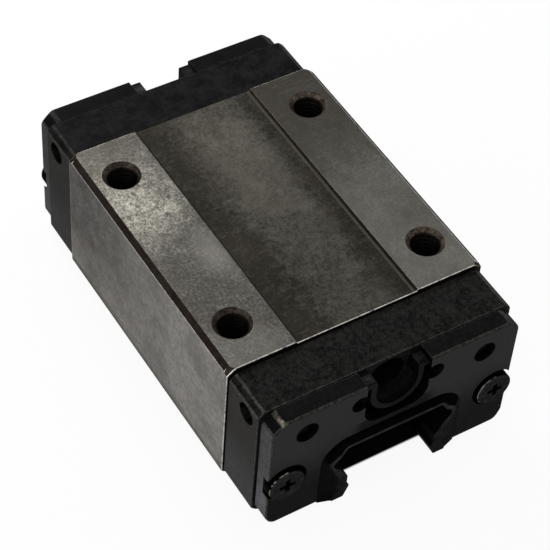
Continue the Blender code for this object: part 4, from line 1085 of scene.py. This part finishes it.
def end_screw(end, side, finish):
    """A pan head on a threaded shank. The head's rim is a quarter ellipse, and the cross is cut
    by a four-armed cross section that narrows as it goes down."""
    sides = 48
    places = np.linspace(SCREW_TIP + 0.5, BLOCK_END, 75)
    shank = SCREW_RADIUS - thread(turns(sides), places, SCREW_PITCH, SCREW_THREAD_DEPTH)
    top = SCREW_SEAT + HEAD_HEIGHT
    rim = np.radians(np.linspace(0, 90, 8))
    rim_places = top - HEAD_RIM_HEIGHT * (1 - np.sin(rim))
    rim_radii = HEAD_RADIUS - HEAD_RIM_WIDTH * (1 - np.cos(rim))
    plain = [
        (BLOCK_END + 0.3, SCREW_RADIUS),
        (SCREW_SEAT, SCREW_RADIUS),
        (SCREW_SEAT, HEAD_RADIUS - HEAD_EDGE),
        (SCREW_SEAT + HEAD_EDGE, HEAD_RADIUS),
        *zip(rim_places, rim_radii),
    ]
    plain_places, plain_radii = np.array(plain).T
    radii = np.concatenate([
        np.full((1, sides), SCREW_RADIUS - SCREW_TIP_CHAMFER),
        shank,
        np.repeat(plain_radii[:, None], sides, axis=1),
    ])
    foot = (0, side * SCREW_Y, TOP - SCREW_DEPTH)
    distances = end * np.array([SCREW_TIP, *places, *plain_places])
    screw = put("screw", around(foot, (1, 0, 0), distances, radii, sides))
    middle = (side * SCREW_Y, SCREW_DEPTH)
    levels = [section(end * (top + rise), cross(*arm) + middle) for rise, *arm in CROSS_LEVELS]
    carve(screw, "DIFFERENCE", [skin(levels)])
    name = f"end_screw_{ENDS[end]}_{SIDES[side]}"
    dress(soften(screw), name, "carriage", finish)


def balls(name, centres, finish):
    """Balls that just touch: point = centre + radius * (cos u, sin u cos v, sin u sin v)."""
    u = np.radians(np.linspace(5, 175, 14))
    points, faces = around((0, 0, 0), (1, 0, 0), -np.cos(u), np.sin(u), 24)
    radius = (BALL_PITCH - BALL_GAP) / 2
    group = put("balls", together([(centre + radius * points, faces) for centre in centres]))
    group.data.shade_smooth()
    dress(group, name, name, finish)


def ball_circuit(side, level, finish):
    name = f"{LEVELS[level]}_{SIDES[side]}"
    loaded, outward = circuit(side, level)
    row = (np.arange(BALLS_PER_ROW) - (BALLS_PER_ROW - 1) / 2) * BALL_PITCH
    along = row[:, None] * (1.0, 0.0, 0.0)
    balls(f"loaded_balls_{name}", loaded + along, finish)
    balls(f"return_balls_{name}", loaded + 2 * TURN_RADIUS * outward + along, finish)
    angles = (np.arange(BALLS_PER_TURN) + 0.5)[:, None] * math.pi / BALLS_PER_TURN
    for end in ENDS:
        forward = (TURN_X + TURN_RADIUS * np.sin(angles)) * (end, 0.0, 0.0)
        places = loaded + forward + TURN_RADIUS * (1 - np.cos(angles)) * outward
        balls(f"turn_balls_{ENDS[end]}_{name}", places, finish)


# Stage, light and camera


def pale_floor():
    """A pale floor that is mostly plain white to the eye, so that its shadow stays faint. Under
    the carriage it takes no white and is near-black, a painted shadow seen in the channel. It
    is clear from below."""
    points = np.array([(-1, -1, 0), (1, -1, 0), (1, 1, 0), (-1, 1, 0)]) * FLOOR_HALF
    mesh = bpy.data.meshes.new("floor")
    mesh.from_pydata((points * MM).tolist(), [], [(0, 1, 2, 3)])
    obj = new_object("floor", mesh)
    obj.location.z = -FLOOR_DROP * MM
    pale = Finish("pale_floor", Roughness=1.0, Specular_IOR_Level=0.0)
    x, y, _ = pale.at()
    clear = pale.larger(
        abs(x).ease(PLATE_INNER - 0.2, PLATE_INNER + 0.2),
        abs(y).ease(ARCH_Y - 0.3, ARCH_Y + 0.3),
    )
    # Painted shadow: near-black under the carriage
    colour = pale.mix(clear, (0.01, 0.01, 0.01, 1.0), (0.9, 0.9, 0.9, 1.0))
    pale.feed(pale.shader.inputs["Base Color"], colour)
    plain = Signal(pale, pale.shader.outputs["BSDF"])
    white = pale.node("ShaderNodeEmission", {}, {"Strength": 1.0})
    above = pale.blend(pale.shown() * clear * 0.93, plain, white)
    below = pale.node("ShaderNodeNewGeometry", {}, {}, "Backfacing")
    glass = pale.node("ShaderNodeBsdfTransparent", {}, {})
    surface = pale.blend(below, above, glass)
    pale.feed(pale.tree.nodes["Material Output"].inputs["Surface"], surface)
    mesh.materials.append(pale.material)


def studio(level):
    """White surroundings to the eye, which light the carriage at a lower level."""
    world = bpy.data.worlds.new("studio")
    bpy.context.scene.world = world
    world.use_nodes = True
    room = Graph(world.node_tree)
    grey, white = (
        room.node("ShaderNodeBackground", {}, {"Color": WHITE, "Strength": strength})
        for strength in (level, 1.0)
    )
    surface = room.blend(room.shown(), grey, white)
    room.feed(room.tree.nodes["World Output"].inputs["Surface"], surface)


def aimed(name, data, place, right, up):
    """Puts a lamp or camera at a place, turned so that it looks along -(right x up)."""
    obj = new_object(name, data)
    turn = np.stack([right, up, np.cross(right, up)], axis=1)
    place = Matrix.Translation((np.array(place) * MM).tolist())
    obj.matrix_world = place @ Matrix(turn.tolist()).to_4x4()
    return obj


def softbox(name, place, target, size, power):
    """A round lamp of a diameter in millimetres and a power in watts, turned to a target."""
    lamp = bpy.data.lights.new(name, "AREA")
    lamp.shape = "DISK"
    lamp.size = size * MM
    lamp.energy = power
    back = unit(np.array(place, float) - target)
    right = unit(np.cross((0.0, 0.0, 1.0), back))
    aimed(name, lamp, place, right, np.cross(back, right))


def photo_camera():
    """The camera fitted to the photograph: its place, and its right and up directions."""
    lens = bpy.data.cameras.new("camera")
    lens.sensor_width = 36.0
    lens.lens = CAMERA_LENS
    lens.clip_start = 0.01
    lens.clip_end = 20.0
    right = unit(np.array(CAMERA_RIGHT))
    up = unit(np.cross(right, CAMERA_AHEAD))
    bpy.context.scene.camera = aimed("camera", lens, CAMERA_PLACE, right, up)


def main():
    bpy.context.scene.view_settings.view_transform = "Standard"
    steel, rubber, oxide, chrome = ground_steel(), seal_rubber(), screw_steel(), ball_steel()
    plastic = inner_plastic()
    cap_black = outer_black(
        "cap_plastic", CAP_Y, deep=tone(5, 5, 6), plain=tone(24, 24, 24), dust=tone(48, 47, 44),
        face=tone(24, 24, 24), lit_flanks=(tone(62, 62, 63), tone(43, 42, 40)),
    )
    plate_black = outer_black(
        "plate_coating", PLATE_Y, deep=tone(6, 6, 7), plain=tone(13, 13, 14),
        dust=tone(26, 26, 26), face=tone(50, 50, 51), lit_flanks=(tone(92, 93, 95), tone(71, 71, 73)),
    )
    steel_block(steel)
    for end in ENDS:
        end_cap(end, cap_black)
        seal_plate(end, plate_black)
        seal_lip(end, rubber)
        for side in SIDES:
            end_screw(end, side, oxide)
    for side in SIDES:
        for level in LEVELS:
            ball_circuit(side, level, chrome)
    for name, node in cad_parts.items():
        if node.hide_render:
            continue
        for material_slot in node.material_slots:
            material_slot.material = rubber if name.startswith("bottom_seal") else plastic
    pale_floor()
    studio(0.4)
    softbox("key", (-188, 8, 168), (-16, -16, TOP), 76, 0.34)
    softbox("side", (60, -320, 140), (0, -10, 10), 260, 0.5)
    softbox("fill", (-60, 260, 300), (0, 0, 10), 300, 0.3)
    photo_camera()


main()
